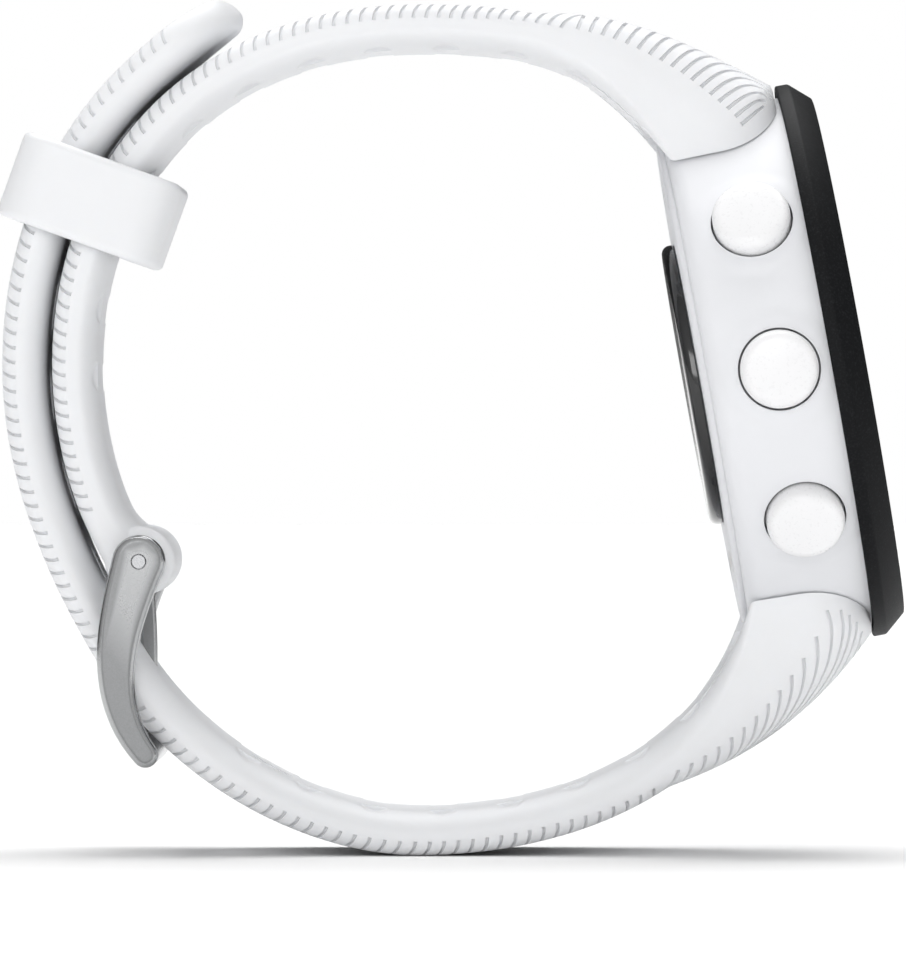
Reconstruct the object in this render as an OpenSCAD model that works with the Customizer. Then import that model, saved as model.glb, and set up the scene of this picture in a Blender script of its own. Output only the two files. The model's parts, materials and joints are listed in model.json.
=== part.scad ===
// A round running watch on a closed two-piece strap. The strap stands as a loop in the X-Z plane with
// its axis along Y. The display faces +X and leans up a little. The origin is the middle of the loop.
// Case pieces are drawn in the case's own axes: x to 3 o'clock, y to 12 o'clock and z out of the
// display, with z = 0 at the back cover's face. in_case() carries them to the loop.

/* [Case] */
// Diameter of the bezel
bezel_d = 39.5; // [33:0.5:48]
// Width by which the bezel overhangs the case all round
bezel_overhang = 0.85; // [0.4:0.05:1.2]
// Height of the case from its back face to the bezel
case_h = 9; // [9:0.1:11]
// Thickness of the bezel
bezel_h = 2.4; // [2.2:0.1:3]
// Thickness of the case's side wall
case_wall = 1.9; // [1.7:0.1:2.6]
// Upward lean of the display
lean = 10.2; // [0:0.1:20]
// Diameter of the sensor window on the back
sensor_d = 20; // [16:0.5:22]
// Height by which the sensor window stands out of the back
sensor_bump = 0.95; // [0.5:0.05:1.5]

/* [Display] */
// Diameter of the glass lens
lens_d = 32.9; // [26:0.1:40]
// Diameter of the lit display panel
display_d = 26.4; // [22:0.1:32]

/* [Buttons] */
// Diameter of a button cap
button_d = 5.45; // [4.5:0.05:6.6]
// Height by which a cap stands out of the case
button_proud = 1.4; // [0.8:0.1:2]
// Diameter of a button stem
stem_d = 1.8; // [1.4:0.1:2.2]
// Inward travel of a button
button_travel = 0.5; // [0.3:0.1:0.6]
// Height of the buttons above the back face
button_z = 5.4; // [5.2:0.1:5.8]
// Angle between neighbouring buttons
button_pitch = 33.5; // [30:0.5:40]

/* [Strap] */
// Width of the strap
strap_w = 20; // [16:0.5:24]
// Thickness of the strap
strap_t = 3.05; // [2.4:0.05:3.7]
// Thickness of the strap where it meets the case
root_t = 8.9; // [7:0.1:9.5]
// Width by which the strap is wider at the case than elsewhere
root_flare = 1.6; // [0:0.1:3]
// Inner reach of the loop from its middle to the buckle side
loop_reach = 20.5; // [18:0.5:24]
// Gap between the tail and the strap that it lies on
lap_gap = 0.45; // [0.3:0.05:0.8]
// Diameter of the spring bars that hold the strap
lug_bar_d = 1.5; // [1.3:0.1:1.8]
// Distance between the holes of the tail
hole_pitch = 6.4; // [6:0.2:8]
// Length of a hole along the strap
hole_l = 3.4; // [2.6:0.1:3.8]
// Width of a hole
hole_w = 2.4; // [2.2:0.1:3]

/* [Buckle] */
// Thickness of a buckle arm across the strap
arm_t = 1.7; // [1.2:0.1:2.2]
// Diameter of the buckle pin between the arms
pin_d = 1.5; // [1.3:0.1:1.8]
// Width of the tongue
tongue_w = 1.9; // [1.5:0.1:2]
// Thickness of the tongue
tongue_t = 1.1; // [0.9:0.05:1.3]
// Swing of the closed frame and tongue that the hole in use allows
tongue_swing = 8; // [6:1:9]
// Gap between the buckle's bar and the tail under it
bar_gap = 0.35; // [0.3:0.05:0.6]

/* [Keeper] */
// Length of the keeper along the strap
keeper_l = 6.2; // [4:0.1:8]
// Wall of the keeper
keeper_wall = 1.45; // [1.2:0.1:2.2]
// Slack inside the keeper under the strap
keeper_slack = 1.9; // [0.6:0.05:2.2]

/* [Hidden] */
$fn = 64;
eps = 0.01;

// Case radii and levels
bezel_r = bezel_d / 2;
case_r = bezel_r - bezel_overhang;
cavity_r = case_r - case_wall;
front_z = case_h + bezel_h;
back_r = case_r - 1.6;
back_t = 1.2;
back_gap = 0.12;
ledge_h = 1.1;
ledge_r = back_r - 1.5;
lens_r = lens_d / 2;
seat_r = lens_r - 0.5;
lens_gap = 0.06;
lens_t = 1.25;
seal_h = 0.25;
display_r = display_d / 2;

// Button stack, as distances from the case axis
cap_r = button_d / 2;
stem_r = stem_d / 2;
cap_top = case_r + button_proud;
cap_root = case_r - 0.75;
pocket_gap = 0.15;
pocket_floor = cap_root - button_travel - 0.1;
boss_r = stem_r + 1.3;
boss_end = cavity_r - 1.3;
seal_l = 0.8;
seal_r = stem_r + 0.55;
run_gap = 0.05;
clip_t = 0.3;
clip_r = stem_r + 0.8;
stem_end = boss_end - 0.55;
halo_r = cap_r + 1.1;
halo_foot_r = halo_r + 0.6;
halo_proud = 0.15;
button_angles = [180 - button_pitch, 180, 180 + button_pitch, button_pitch, -button_pitch];

// Board and inner stack
board_r = stem_end - button_travel - 0.1;
board_z = button_z + 0.8;
board_t = 0.6;
chip_h = 0.7;
tray_z = board_z + board_t + chip_h + 0.1;
tray_r = cavity_r - 1.15;
flat_y = cavity_r - 1;
screw_at = cavity_r - 1.8;
screw_angles = [62, 118, 242, 298];
screw_r = 0.6;
screw_head_r = 1.15;
battery_size = [2 * (board_r - 4.8), 16, 2.9];
battery_y = -2.5;
battery_z = back_t + 1;
motor_r = 4;
motor_h = 2.6;
motor_y = battery_y + battery_size[1] / 2 + motor_r + 1.6;

// Lugs
ear_t = 2;
ear_in = 6.6;
ear_r = lug_bar_d / 2 + 0.8;
ear_gap = 0.12;
ear_slope = 28;
lug_y = case_r + ear_r;
lug_z = 0.6;
tip_r = lug_bar_d / 2 - 0.35;
seam_gap = 0.1;

// Where the case sits in the loop
case_at = [21.83, 0, 3.34];
cl = cos(lean);
sl = sin(lean);
function to_loop(y, z) = [case_at[0] - sl * y + cl * z, case_at[2] + cl * y + sl * z];

// Strap routes: the inner face's line in X-Z, as curves with a heading at each end
root_half = strap_w / 2 + root_flare / 2;
seam_y = sqrt(case_r * case_r - root_half * root_half);
root_len = 13;
edge_r = 1.2;
root_edge_r = 6.2;
inner_edge_r = 0.7;
function dir(a) = [cos(a), sin(a)];
function leg(p, a, h, q, b, k) = [p, p + h * dir(a), q - k * dir(b), q];
top_seam = to_loop(seam_y, 0.8);
low_seam = to_loop(-seam_y, 0.8);
crest = [2.4, top_seam[1] + 8.08];
trough = [2, low_seam[1] - 14.84];
left_z = 4.6;
left = [-loop_reach, left_z];
pin_at = [3.1 - loop_reach, left_z - 13.7];
bend_at = [1.9 - loop_reach, left_z - 9.55];
knuckle_wall = 1.7;
pin_r = pin_d / 2;
knuckle_r = pin_r + knuckle_wall;
upper_route = [leg(top_seam - 3.5 * dir(128), 128, 1.2, top_seam, 128, 1.2),
               leg(top_seam, 128, 8.2, crest, 180, 9),
               leg(crest, 180, 15.2, left, 270, 12.2),
               leg(left, 270, 3, bend_at, 294, 3),
               leg(bend_at, 294, 1.5, pin_at + [0.8, 0.3], 302, 1)];
lap = strap_t + lap_gap;
function bez(p, t) = pow(1 - t, 3) * p[0] + 3 * t * pow(1 - t, 2) * p[1]
                     + 3 * t * t * (1 - t) * p[2] + pow(t, 3) * p[3];
function bez_way(p, t) = let (d = pow(1 - t, 2) * (p[1] - p[0]) + 2 * t * (1 - t) * (p[2] - p[1])
                              + t * t * (p[3] - p[2])) d / norm(d);
function right_of(d) = [d[1], -d[0]];
through = pin_at + [0.1, -6.26];
lower_route = [leg(low_seam - 3.5 * dir(255.6), 255.6, 1.2, low_seam, 255.6, 1.2),
               leg(low_seam, 255.6, 11.2, trough, 180, 10.1),
               leg(trough, 180, 6.3, through, 122, 8.5),
               leg(through, 122, 7.4, left - [lap, 0], 90, 7)];

// From there the tail lies on the other half, as far as lift_t of its bend, and its tip stands off
lift_t = 0.47;
tip_len = 8.3;
lap_steps = 18;
lap_stops = [for (i = [1:lap_steps]) let (t = 1 - (1 - lift_t) * i / lap_steps, w = bez_way(upper_route[2], t))
    [bez(upper_route[2], t) + lap * right_of(w), -w]];
lift = lap_stops[lap_steps - 1];
lift_a = atan2(lift[1][1], lift[1][0]);
tail_tip = lift[0] + tip_len * dir(lift_a - 4.5);
tip_route = [leg(lift[0], lift_a, 2.2, tail_tip, lift_a - 9, 2.2)];

// Buckle
arm_in = strap_w / 2 + 0.25;
pin_end_r = pin_r - 0.29;
arm_w_top = 3.7;
arm_w_low = 1.8;
bar_from = 0.92;
// The bar's place, from the pin: it stands off the outer face of the tail that passes under it
bar_t = 0.787;
bar_way = bez_way(lower_route[2], bar_t);
bar_at = bez(lower_route[2], bar_t) - (strap_t + bar_gap + arm_w_low / 2) * right_of(bar_way) - pin_at;
arm_line = [[0, 0], [-1.3, -3.9], [-3, -9.3], bar_at];
tongue_line = [[0, 0], [0.35, -3.9], [0.75, -8.3], bar_at + 1.23 * bar_way + 0.33 * right_of(bar_way)];
tongue_gap = 0.22;
tongue_eye_r = pin_r + 0.75;
notch_w = tongue_w + 0.5;

// Keeper
keeper_t_at = 0.685;
keeper_at = bez(upper_route[2], keeper_t_at);
keeper_way = bez_way(upper_route[2], keeper_t_at);
keeper_in = [strap_w + 0.7, keeper_slack + 2 * strap_t + lap_gap + 0.3];

// ---- Shared shapes ----

// Moves children from the case's axes into the loop
module in_case() {
    multmatrix([[0, -sl, cl, case_at[0]], [1, 0, 0, 0], [0, cl, sl, case_at[2]], [0, 0, 0, 1]]) children();
}

// Points children's +z outward along a button's axis, with z measured from the case axis
module radial(angle) {
    rotate([0, 0, angle]) translate([0, 0, button_z]) rotate([0, 90, 0]) children();
}

module ring(outer, inner, h) {
    difference() {
        cylinder(r = outer, h = h);
        translate([0, 0, -1]) cylinder(r = inner, h = h + 2);
    }
}

// A cylinder along Y, centred on a point of the X-Z plane
module across(at, r, w) {
    translate([at[0], w / 2, at[1]]) rotate([90, 0, 0]) cylinder(r = r, h = w);
}

// A flat outline in X-Z, extruded along Y and centred
module slab(points, w) {
    translate([0, w / 2, 0]) rotate([90, 0, 0]) linear_extrude(w) polygon(points);
}

module rounded_rect(w, h, r) {
    square([w - 2 * r, h], center = true);
    square([w, h - 2 * r], center = true);
    for (x = [-1, 1], y = [-1, 1]) translate([x * (w / 2 - r), y * (h / 2 - r)]) circle(r = r);
}

// The sides of a band along a curve, of half-width w0 at its start and w1 at its end
function band(p, w0, w1, t0, t1, n) = concat(
    [for (i = [0:n]) let (t = t0 + (t1 - t0) * i / n)
        bez(p, t) + (w0 + (w1 - w0) * t) * right_of(bez_way(p, t))],
    [for (i = [n:-1:0]) let (t = t0 + (t1 - t0) * i / n)
        bez(p, t) - (w0 + (w1 - w0) * t) * right_of(bez_way(p, t))]);

// ---- Straps ----

// Stations [point, way] along a route, steps[i] of them on leg i
function stations(route, steps) = concat(
    [for (i = [0:len(route) - 1], j = [0:steps[i] - 1])
        [bez(route[i], j / steps[i]), bez_way(route[i], j / steps[i])]],
    [[route[len(route) - 1][3], bez_way(route[len(route) - 1], 1)]]);

function corner(cy, cv, r, a0, n) = [for (k = [0:n]) [cy + r * cos(a0 + 90 * k / n), cv + r * sin(a0 + 90 * k / n)]];

// One section: half-width w, thickness t and edge radius e on the outer face
function section(w, t, e) = concat(
    corner(w - inner_edge_r, inner_edge_r, inner_edge_r, -90, 3),
    corner(w - e, t - e, e, 0, 6),
    corner(e - w, t - e, e, 90, 6),
    corner(inner_edge_r - w, inner_edge_r, inner_edge_r, 180, 3));

function rooted(d) = pow(max(0, 1 - d / root_len), 1.15);

// Sweeps sections along stations. side is 1 where the outside is on the right of the way.
module strap_sweep(stops, seam, side, tip_at) {
    rings = [for (s = stops)
        let (g = rooted(norm(s[0] - seam)),
             d = norm(s[0] - tip_at),
             tip = d < 6 ? sqrt(max(0, 1 - pow(1 - d / 6, 2.4))) : 1,
             t = (strap_t + (root_t - strap_t) * g) * (0.62 + 0.38 * tip),
             w = (strap_w / 2 + root_flare / 2 * g) * (0.3 + 0.7 * tip),
             e = min(edge_r + (root_edge_r - edge_r) * g, t * 0.62),
             out = side * right_of(s[1]))
        [for (q = section(w, t, e)) [s[0][0] + q[1] * out[0], q[0], s[0][1] + q[1] * out[1]]]];
    n = len(rings[0]);
    m = len(rings);
    walls = [for (i = [0:m - 2], j = [0:n - 1]) let (k = (j + 1) % n)
        each [[i * n + j, i * n + k, (i + 1) * n + k], [i * n + j, (i + 1) * n + k, (i + 1) * n + j]]];
    caps = [[for (j = [n - 1:-1:0]) j], [for (j = [0:n - 1]) (m - 1) * n + j]];
    faces = concat(walls, caps);
    polyhedron(points = [for (r = rings, p = r) p],
               faces = side > 0 ? faces : [for (f = faces) [for (i = [len(f) - 1:-1:0]) f[i]]]);
}

// What the case, the bezel, the ears and the spring bar take out of a strap's root.
// end is 1 at 12 o'clock and -1 at 6 o'clock.
module root_cuts(end) {
    in_case() {
        translate([0, 0, -6]) cylinder(r = case_r + seam_gap, h = case_h + 7, $fn = 128);
        translate([0, 0, case_h - seam_gap]) cylinder(r = bezel_r + 1, h = 4, $fn = 128);
        for (a = button_angles) radial(a) {
            translate([0, 0, case_r - 1]) cylinder(r = halo_foot_r + seam_gap, h = 1 + halo_proud + seam_gap);
            translate([0, 0, case_r - 1]) cylinder(r = cap_r + 2 * seam_gap, h = button_proud + 2);
        }
        for (x = [-1, 1]) translate([x * (ear_in + ear_t / 2), end * lug_y, lug_z]) ear_space(end);
        translate([-ear_in - 1, end * lug_y, lug_z]) rotate([0, 90, 0])
            cylinder(r = lug_bar_d / 2 + 0.03, h = 2 * ear_in + 2);
    }
}

module ear_space(end) {
    w = ear_t + 2 * ear_gap;
    r = ear_r + 0.15;
    translate([-w / 2, 0, 0]) rotate([0, 90, 0]) cylinder(r = r, h = w);
    translate([-w / 2, end > 0 ? -5 : -r, -8]) cube([w, 5 + r, 8]);
    translate([-w / 2, end > 0 ? -5 : 0, -r]) cube([w, 5, 2 * r]);
}

module strap_upper() {
    stops = stations(upper_route, [3, 14, 22, 6, 4]);
    color("whitesmoke") difference() {
        union() {
            strap_sweep(stops, top_seam, 1, [0, 0]);
            across(pin_at, knuckle_r, strap_w - 0.1);
        }
        root_cuts(1);
        across(pin_at, pin_r + 0.03, strap_w + 2);
        across(pin_at, tongue_eye_r + 0.25, tongue_w + 0.5);
        translate([pin_at[0] - 3.2, -tongue_w / 2 - 0.25, pin_at[1] - 4])
            cube([3.2 + tongue_eye_r + 0.25, tongue_w + 0.5, 4]);
    }
}

lower_steps = [3, 16, 14, 14];
tip_stops = stations(tip_route, [14]);
lower_stops = concat(stations(lower_route, lower_steps), lap_stops, [for (i = [1:14]) tip_stops[i]]);

// Station of the tail at distance s past stop i
function walk(i, s) = let (p = lower_stops[i][0], q = lower_stops[i + 1][0], d = norm(q - p))
    s <= d || i > len(lower_stops) - 3 ? [p + (q - p) * s / d, lower_stops[i][1]] : walk(i + 1, s - d);

module tail_hole(station) {
    a = atan2(station[1][1], station[1][0]);
    translate([station[0][0], 0, station[0][1]]) rotate([0, 90 - a, 0])
        translate([1, 0, 0]) rotate([0, 90, 0]) rotate([0, 0, 90])
        linear_extrude(2 * strap_t + 4, center = true) {
            square([hole_w, hole_l - hole_w], center = true);
            for (k = [-1, 1]) translate([0, k * (hole_l - hole_w) / 2]) circle(d = hole_w);
        }
}

module strap_lower() {
    buckle_stop = lower_steps[0] + lower_steps[1] + lower_steps[2];
    before_buckle = buckle_stop - 8;
    color("whitesmoke") difference() {
        strap_sweep(lower_stops, low_seam, -1, tail_tip);
        root_cuts(-1);
        tail_hole(walk(before_buckle, 0));
        for (k = [1:6]) tail_hole(walk(buckle_stop, k * hole_pitch));
        // The hole in use, stretched along the tongue and over its swing
        for (a = [0:2:tongue_swing]) translate([pin_at[0], 0, pin_at[1]]) rotate([0, a, 0])
            slab(band(tongue_line, tongue_t / 2 + tongue_gap, tongue_t / 2 + tongue_gap, 0.3, 1, 10),
                 tongue_w + 0.5);
    }
}

// ---- Case ----

module case_shell() {
    color("gainsboro") in_case() difference() {
        union() {
            rotate_extrude($fn = 128) shell_outline();
            for (a = button_angles) radial(a) translate([0, 0, case_r - 1])
                cylinder(r1 = halo_foot_r, r2 = halo_r, h = 1 + halo_proud);
            for (end = [-1, 1], x = [-1, 1]) translate([x * (ear_in + ear_t / 2), end * lug_y, lug_z]) ear(end);
        }
        cavity();
        translate([0, 0, case_h]) cylinder(r = bezel_r + 2, h = 4);
        for (a = button_angles) radial(a) {
            translate([0, 0, pocket_floor]) cylinder(r = cap_r + pocket_gap, h = 5);
            translate([0, 0, boss_end - 1]) cylinder(r = stem_r + run_gap, h = 5);
            translate([0, 0, pocket_floor - seal_l]) cylinder(r = seal_r, h = 2);
        }
        for (end = [-1, 1], x = [-1, 1]) translate([x * (ear_in - 1), end * lug_y, lug_z])
            rotate([0, x * 90, 0]) cylinder(r = tip_r + 0.04, h = 2.4);
    }
}

module shell_outline() {
    polygon(concat(
        [[0, case_h], [0, 0.45], [back_r + back_gap, 0.45]],
        [for (a = [-60:10:0]) [case_r - 1.5 + 1.4 * cos(a), 1.7 + 1.4 * sin(a)]],
        [[case_r, case_h]]));
}

// A lug's ear, its web's wrist side sloped like the strap's root
module ear(end) {
    translate([-ear_t / 2, 0, 0]) rotate([0, 90, 0]) cylinder(r = ear_r, h = ear_t);
    difference() {
        translate([-ear_t / 2, end > 0 ? -4 : 0, -ear_r]) cube([ear_t, 4, 2 * ear_r]);
        rotate([-end * ear_slope, 0, 0]) translate([-ear_t, -8, -ear_r - 6]) cube([2 * ear_t, 16, 6]);
    }
}

// The room inside the case, with button bosses and screw bosses left standing
module cavity() {
    translate([0, 0, -3]) cylinder(r = back_r + back_gap, h = 3 + back_t + back_gap);
    translate([0, 0, 0]) cylinder(r = ledge_r, h = back_t + ledge_h + 0.2);
    difference() {
        translate([0, 0, back_t + ledge_h]) cylinder(r = cavity_r, h = case_h);
        for (a = button_angles) radial(a) translate([0, 0, boss_end]) cylinder(r = boss_r, h = 4);
        for (a = screw_angles) rotate([0, 0, a]) translate([screw_at, 0, 0]) cylinder(r = 1.5, h = 4.9);
        for (end = [-1, 1]) translate([-10, end > 0 ? flat_y : -flat_y - 3, 0]) cube([20, 3, 5.6]);
    }
    translate([0, 0, back_t]) ring(back_r - 0.4, back_r - 1, 0.62 + back_gap);
    for (a = screw_angles) rotate([0, 0, a]) translate([screw_at, 0, -1]) cylinder(r = screw_r - 0.05, h = 5.2);
}

module bezel() {
    color("dimgray") in_case() rotate_extrude($fn = 128) polygon([
        [seat_r, case_h], [bezel_r, case_h], [bezel_r, case_h + 0.9], [bezel_r - 1.3, front_z],
        [lens_r + lens_gap, front_z], [lens_r + lens_gap, front_z - lens_t - seal_h],
        [seat_r, front_z - lens_t - seal_h]]);
}

module lens() {
    color("lightcyan", 0.4) in_case() translate([0, 0, front_z - lens_t]) cylinder(r = lens_r, h = lens_t, $fn = 128);
}

module lens_seal() {
    color("darkslategray") in_case() translate([0, 0, front_z - lens_t - seal_h])
        ring(lens_r - 0.02, seat_r + 0.02, seal_h);
}

module dial_ring() {
    color("black") in_case() translate([0, 0, case_h + 0.3]) ring(seat_r - 0.1, display_r + 0.1, 0.3);
}

module display_panel() {
    color("darkslateblue") in_case() translate([0, 0, case_h - 0.5]) cylinder(r = display_r, h = 0.8);
}

module light_guide() {
    color("white") in_case() translate([0, 0, case_h - 0.8]) cylinder(r = display_r, h = 0.3);
}

module display_frame() {
    color("gray") in_case() difference() {
        union() {
            translate([0, 0, tray_z]) cylinder(r = tray_r, h = case_h - tray_z - 0.05);
            translate([0, 0, case_h - 0.5]) cylinder(r = seat_r - 0.1, h = 0.8);
        }
        translate([0, 0, case_h - 0.8]) cylinder(r = display_r + 0.06, h = 4);
        translate([0, 0, tray_z - 1]) cylinder(r = display_r - 3, h = 4);
    }
}

module main_board() {
    color("darkgreen") in_case() difference() {
        translate([0, 0, board_z]) cylinder(r = board_r, h = board_t);
        for (a = [45, 225]) rotate([0, 0, a]) translate([board_r - 1.6, 0, board_z - 1]) cylinder(r = 0.6, h = 3);
    }
}

module board_chips() {
    sizes = [[6, 6, chip_h], [4, 3, 0.6], [3.2, 3.2, 0.65], [2.4, 5, 0.5], [5, 2.4, 0.55]];
    places = [[-3.5, 2.5], [4.5, 5], [5.5, -1.5], [-8.4, -4], [1, -7.4]];
    color("darkslategray") in_case() for (i = [0:4])
        translate([places[i][0], places[i][1], board_z + board_t]) translate([-sizes[i][0] / 2, -sizes[i][1] / 2, 0])
            cube(sizes[i]);
}

module battery() {
    color("silver") in_case() translate([0, battery_y, battery_z])
        linear_extrude(battery_size[2]) rounded_rect(battery_size[0], battery_size[1], 1.2);
}

module gps_antenna() {
    h = case_h - tray_z - 0.1;
    color("goldenrod") in_case() difference() {
        translate([0, 0, tray_z]) ring(cavity_r - 0.05, cavity_r - 0.4, h);
        translate([-1.5, -cavity_r - 1, tray_z - 1]) cube([3, 4, h + 2]);
    }
}

module motor_can() {
    color("silver") in_case() translate([0, motor_y, battery_z]) difference() {
        cylinder(r = motor_r, h = motor_h);
        translate([0, 0, 0.25]) cylinder(r = motor_r - 0.3, h = motor_h - 0.5);
    }
}

module motor_shaft() {
    color("dimgray") in_case() translate([0, motor_y, battery_z + 0.25]) cylinder(r = 0.4, h = motor_h - 0.5);
}

module motor_weight() {
    color("peru") in_case() translate([0, motor_y, battery_z + 0.45]) difference() {
        union() {
            cylinder(r = 1.1, h = 1.7);
            rotate_extrude(angle = 180) translate([0.9, 0]) square([2.5, 1.7]);
        }
        translate([0, 0, -1]) cylinder(r = 0.45, h = 4);
    }
}

module piezo_disc() {
    color("khaki") in_case() translate([0, battery_y, board_z - 0.5]) cylinder(r = 4.5, h = 0.5);
}

module back_cover() {
    color("whitesmoke") in_case() difference() {
        rotate_extrude($fn = 128) polygon(concat([[0, back_t], [0, 0]],
            [for (a = [-90:15:0]) [back_r - 0.5 + 0.5 * cos(a), 0.5 + 0.5 * sin(a)]], [[back_r, back_t]]));
        translate([0, 0, -1]) cylinder(r = sensor_d / 2 + 0.06, h = 4);
        translate([0, 0, back_t - 0.4]) cylinder(r = sensor_d / 2 + 0.86, h = 4);
        for (a = screw_angles) rotate([0, 0, a]) translate([screw_at, 0, 0]) {
            translate([0, 0, -1]) cylinder(r = screw_head_r + 0.06, h = 1.6);
            translate([0, 0, -1]) cylinder(r = screw_r + 0.06, h = 4);
        }
        for (x = [-1.5, -0.5, 0.5, 1.5]) translate([x * 2.1, -sensor_d / 2 - 2.6, -1]) cylinder(r = 0.6, h = 4);
        for (x = [-1, 1]) translate([x * 5.4 - 0.6, -sensor_d / 2 - 3.4, -1]) cube([1.2, 1.6, 1.5]);
    }
}

module back_gasket() {
    color("dimgray") in_case() translate([0, 0, back_t]) ring(back_r - 0.45, back_r - 0.95, 0.6 + back_gap);
}

module back_screws() {
    color("silver") in_case() for (a = screw_angles) rotate([0, 0, a]) translate([screw_at, 0, 0]) difference() {
        union() {
            translate([0, 0, 0.08]) cylinder(r = screw_head_r, h = 0.5);
            translate([0, 0, 0.5]) cylinder(r = screw_r - 0.05, h = 3.5);
        }
        translate([0, 0, -1]) cylinder(r = 0.5, h = 1.4, $fn = 6);
    }
}

module sensor_window() {
    r = sensor_d / 2;
    color("black") in_case() difference() {
        rotate_extrude($fn = 128) polygon(concat([[0, back_t], [0, -sensor_bump]],
            [for (a = [-90:15:0]) [r - 0.6 + 0.6 * cos(a), 0.6 - sensor_bump + 0.6 * sin(a)]],
            [[r, back_t - 0.4], [r + 0.8, back_t - 0.4], [r + 0.8, back_t]]));
        translate([0, 0, -0.15]) cylinder(r = r - 0.9, h = 4);
    }
}

module sensor_board() {
    color("darkgreen") in_case() translate([0, 0, 0.85]) cylinder(r = sensor_d / 2 - 1, h = 0.5);
}

module sensor_leds() {
    color("lime") in_case() for (a = [0, 90, 180, 270]) rotate([0, 0, a])
        translate([a % 180 == 0 ? 3.4 : 4.6, 0, 0.45]) translate([-0.8, -0.8, 0]) cube([1.6, 1.6, 0.4]);
}

module charge_contacts() {
    color("gold") in_case() for (x = [-1.5, -0.5, 0.5, 1.5]) translate([x * 2.1, -sensor_d / 2 - 2.6, 0.15]) {
        cylinder(r = 0.55, h = back_t);
        translate([0, 0, back_t - 0.15]) cylinder(r = 0.8, h = 0.4);
    }
}

module button_switches() {
    color("dimgray") in_case() for (a = button_angles) rotate([0, 0, a])
        translate([board_r - 1.6, -1.6, board_z - 1.6]) cube([1.5, 3.2, 1.6]);
}

module button_seals() {
    color("black") in_case() for (a = button_angles) radial(a) translate([0, 0, pocket_floor - seal_l])
        ring(seal_r, stem_r + 0.03, seal_l - 0.1);
}

// ---- Buttons ----

module button(angle) {
    color("white") in_case() radial(angle) difference() {
        union() {
            translate([0, 0, stem_end]) cylinder(r = stem_r, h = cap_root - stem_end + 0.2);
            translate([0, 0, cap_root]) rotate_extrude() cap_outline();
        }
        translate([0, 0, boss_end - 0.05 - clip_t]) ring(stem_r + 1, stem_r - 0.25, clip_t);
    }
}

module cap_outline() {
    h = cap_top - cap_root;
    polygon(concat([[0, h + 0.12], [0, 0], [cap_r, 0]],
        [for (a = [0:15:90]) [cap_r - 0.6 + 0.6 * cos(a), h - 0.6 + 0.6 * sin(a)]]));
}

module clip(angle) {
    color("silver") in_case() radial(angle) translate([0, 0, boss_end - 0.05 - clip_t]) difference() {
        ring(clip_r, stem_r - 0.25, clip_t);
        translate([-0.5, 0, -1]) cube([1, 4, 3]);
    }
}

// ---- Lugs ----

module lug_bar(end) {
    color("silver") in_case() translate([-ear_in + 0.05, end * lug_y, lug_z]) rotate([0, 90, 0])
        ring(lug_bar_d / 2, tip_r + 0.05, 2 * ear_in - 0.1);
}

module lug_bar_tips() {
    color("silver") in_case() for (end = [-1, 1], x = [-1, 1])
        translate([x * (ear_in - 1.2), end * lug_y, lug_z]) rotate([0, x * 90, 0]) cylinder(r = tip_r, h = 2.5);
}

// A coil spring between the two tips of each spring bar
module lug_bar_springs() {
    turns = 12;
    steps = 10;
    wire = 0.09;
    r = tip_r - wire;
    l = 2 * ear_in - 2.5;
    sides = 5;
    rings = [for (i = [0:turns * steps]) let (a = 360 * i / steps, z = -l / 2 + l * i / (turns * steps))
        [for (k = [0:sides - 1]) let (b = 360 * k / sides)
            [(r + wire * cos(b)) * cos(a), (r + wire * cos(b)) * sin(a), z + wire * sin(b)]]];
    last = turns * steps * sides;
    faces = concat(
        [for (i = [0:turns * steps - 1], k = [0:sides - 1]) let (n = (k + 1) % sides)
            each [[i * sides + k, i * sides + n, (i + 1) * sides + n],
                  [i * sides + k, (i + 1) * sides + n, (i + 1) * sides + k]]],
        [[for (k = [sides - 1:-1:0]) k], [for (k = [0:sides - 1]) last + k]]);
    color("silver") in_case() for (end = [-1, 1]) translate([0, end * lug_y, lug_z]) rotate([0, 90, 0])
        polyhedron(points = [for (q = rings, p = q) p], faces = faces);
}

// ---- Buckle and keeper ----

module buckle_pin() {
    color("silver") {
        across(pin_at, pin_r, 2 * arm_in - 0.1);
        across(pin_at, pin_end_r, 2 * (arm_in + arm_t) - 0.04);
    }
}

module buckle_frame() {
    outline = band(arm_line, arm_w_top / 2, arm_w_low / 2, 0, 1, 24);
    color("darkgray") translate([pin_at[0], 0, pin_at[1]]) difference() {
        union() {
            for (side = [-1, 1]) translate([0, side * (arm_in + arm_t / 2), 0]) {
                slab(outline, arm_t);
                across([0, 0], arm_w_top / 2, arm_t);
                across(arm_line[3], arm_w_low / 2, arm_t);
            }
            slab(band(arm_line, arm_w_top / 2, arm_w_low / 2, bar_from, 1, 6), 2 * arm_in + eps);
            across(arm_line[3], arm_w_low / 2, 2 * arm_in + eps);
        }
        across([0, 0], pin_end_r + 0.04, 2 * (arm_in + arm_t) + 2);
        // The notch that the tongue's tip lies in
        slab(band(tongue_line, tongue_t / 2 + 0.06, tongue_t / 2 + 0.06, 0.6, 1, 8), notch_w);
        translate([tongue_line[3][0] - 2.6, -notch_w / 2, tongue_line[3][1] - 1.5])
            cube([2.6 + tongue_t / 2 - 0.1, notch_w, 5]);
    }
}

module buckle_tongue() {
    color("silver") translate([pin_at[0], 0, pin_at[1]]) difference() {
        union() {
            across([0, 0], tongue_eye_r, tongue_w);
            slab(band(tongue_line, tongue_t / 2, tongue_t / 2, 0.04, 0.985, 16), tongue_w);
        }
        across([0, 0], pin_r + 0.04, tongue_w + 2);
    }
}

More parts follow.
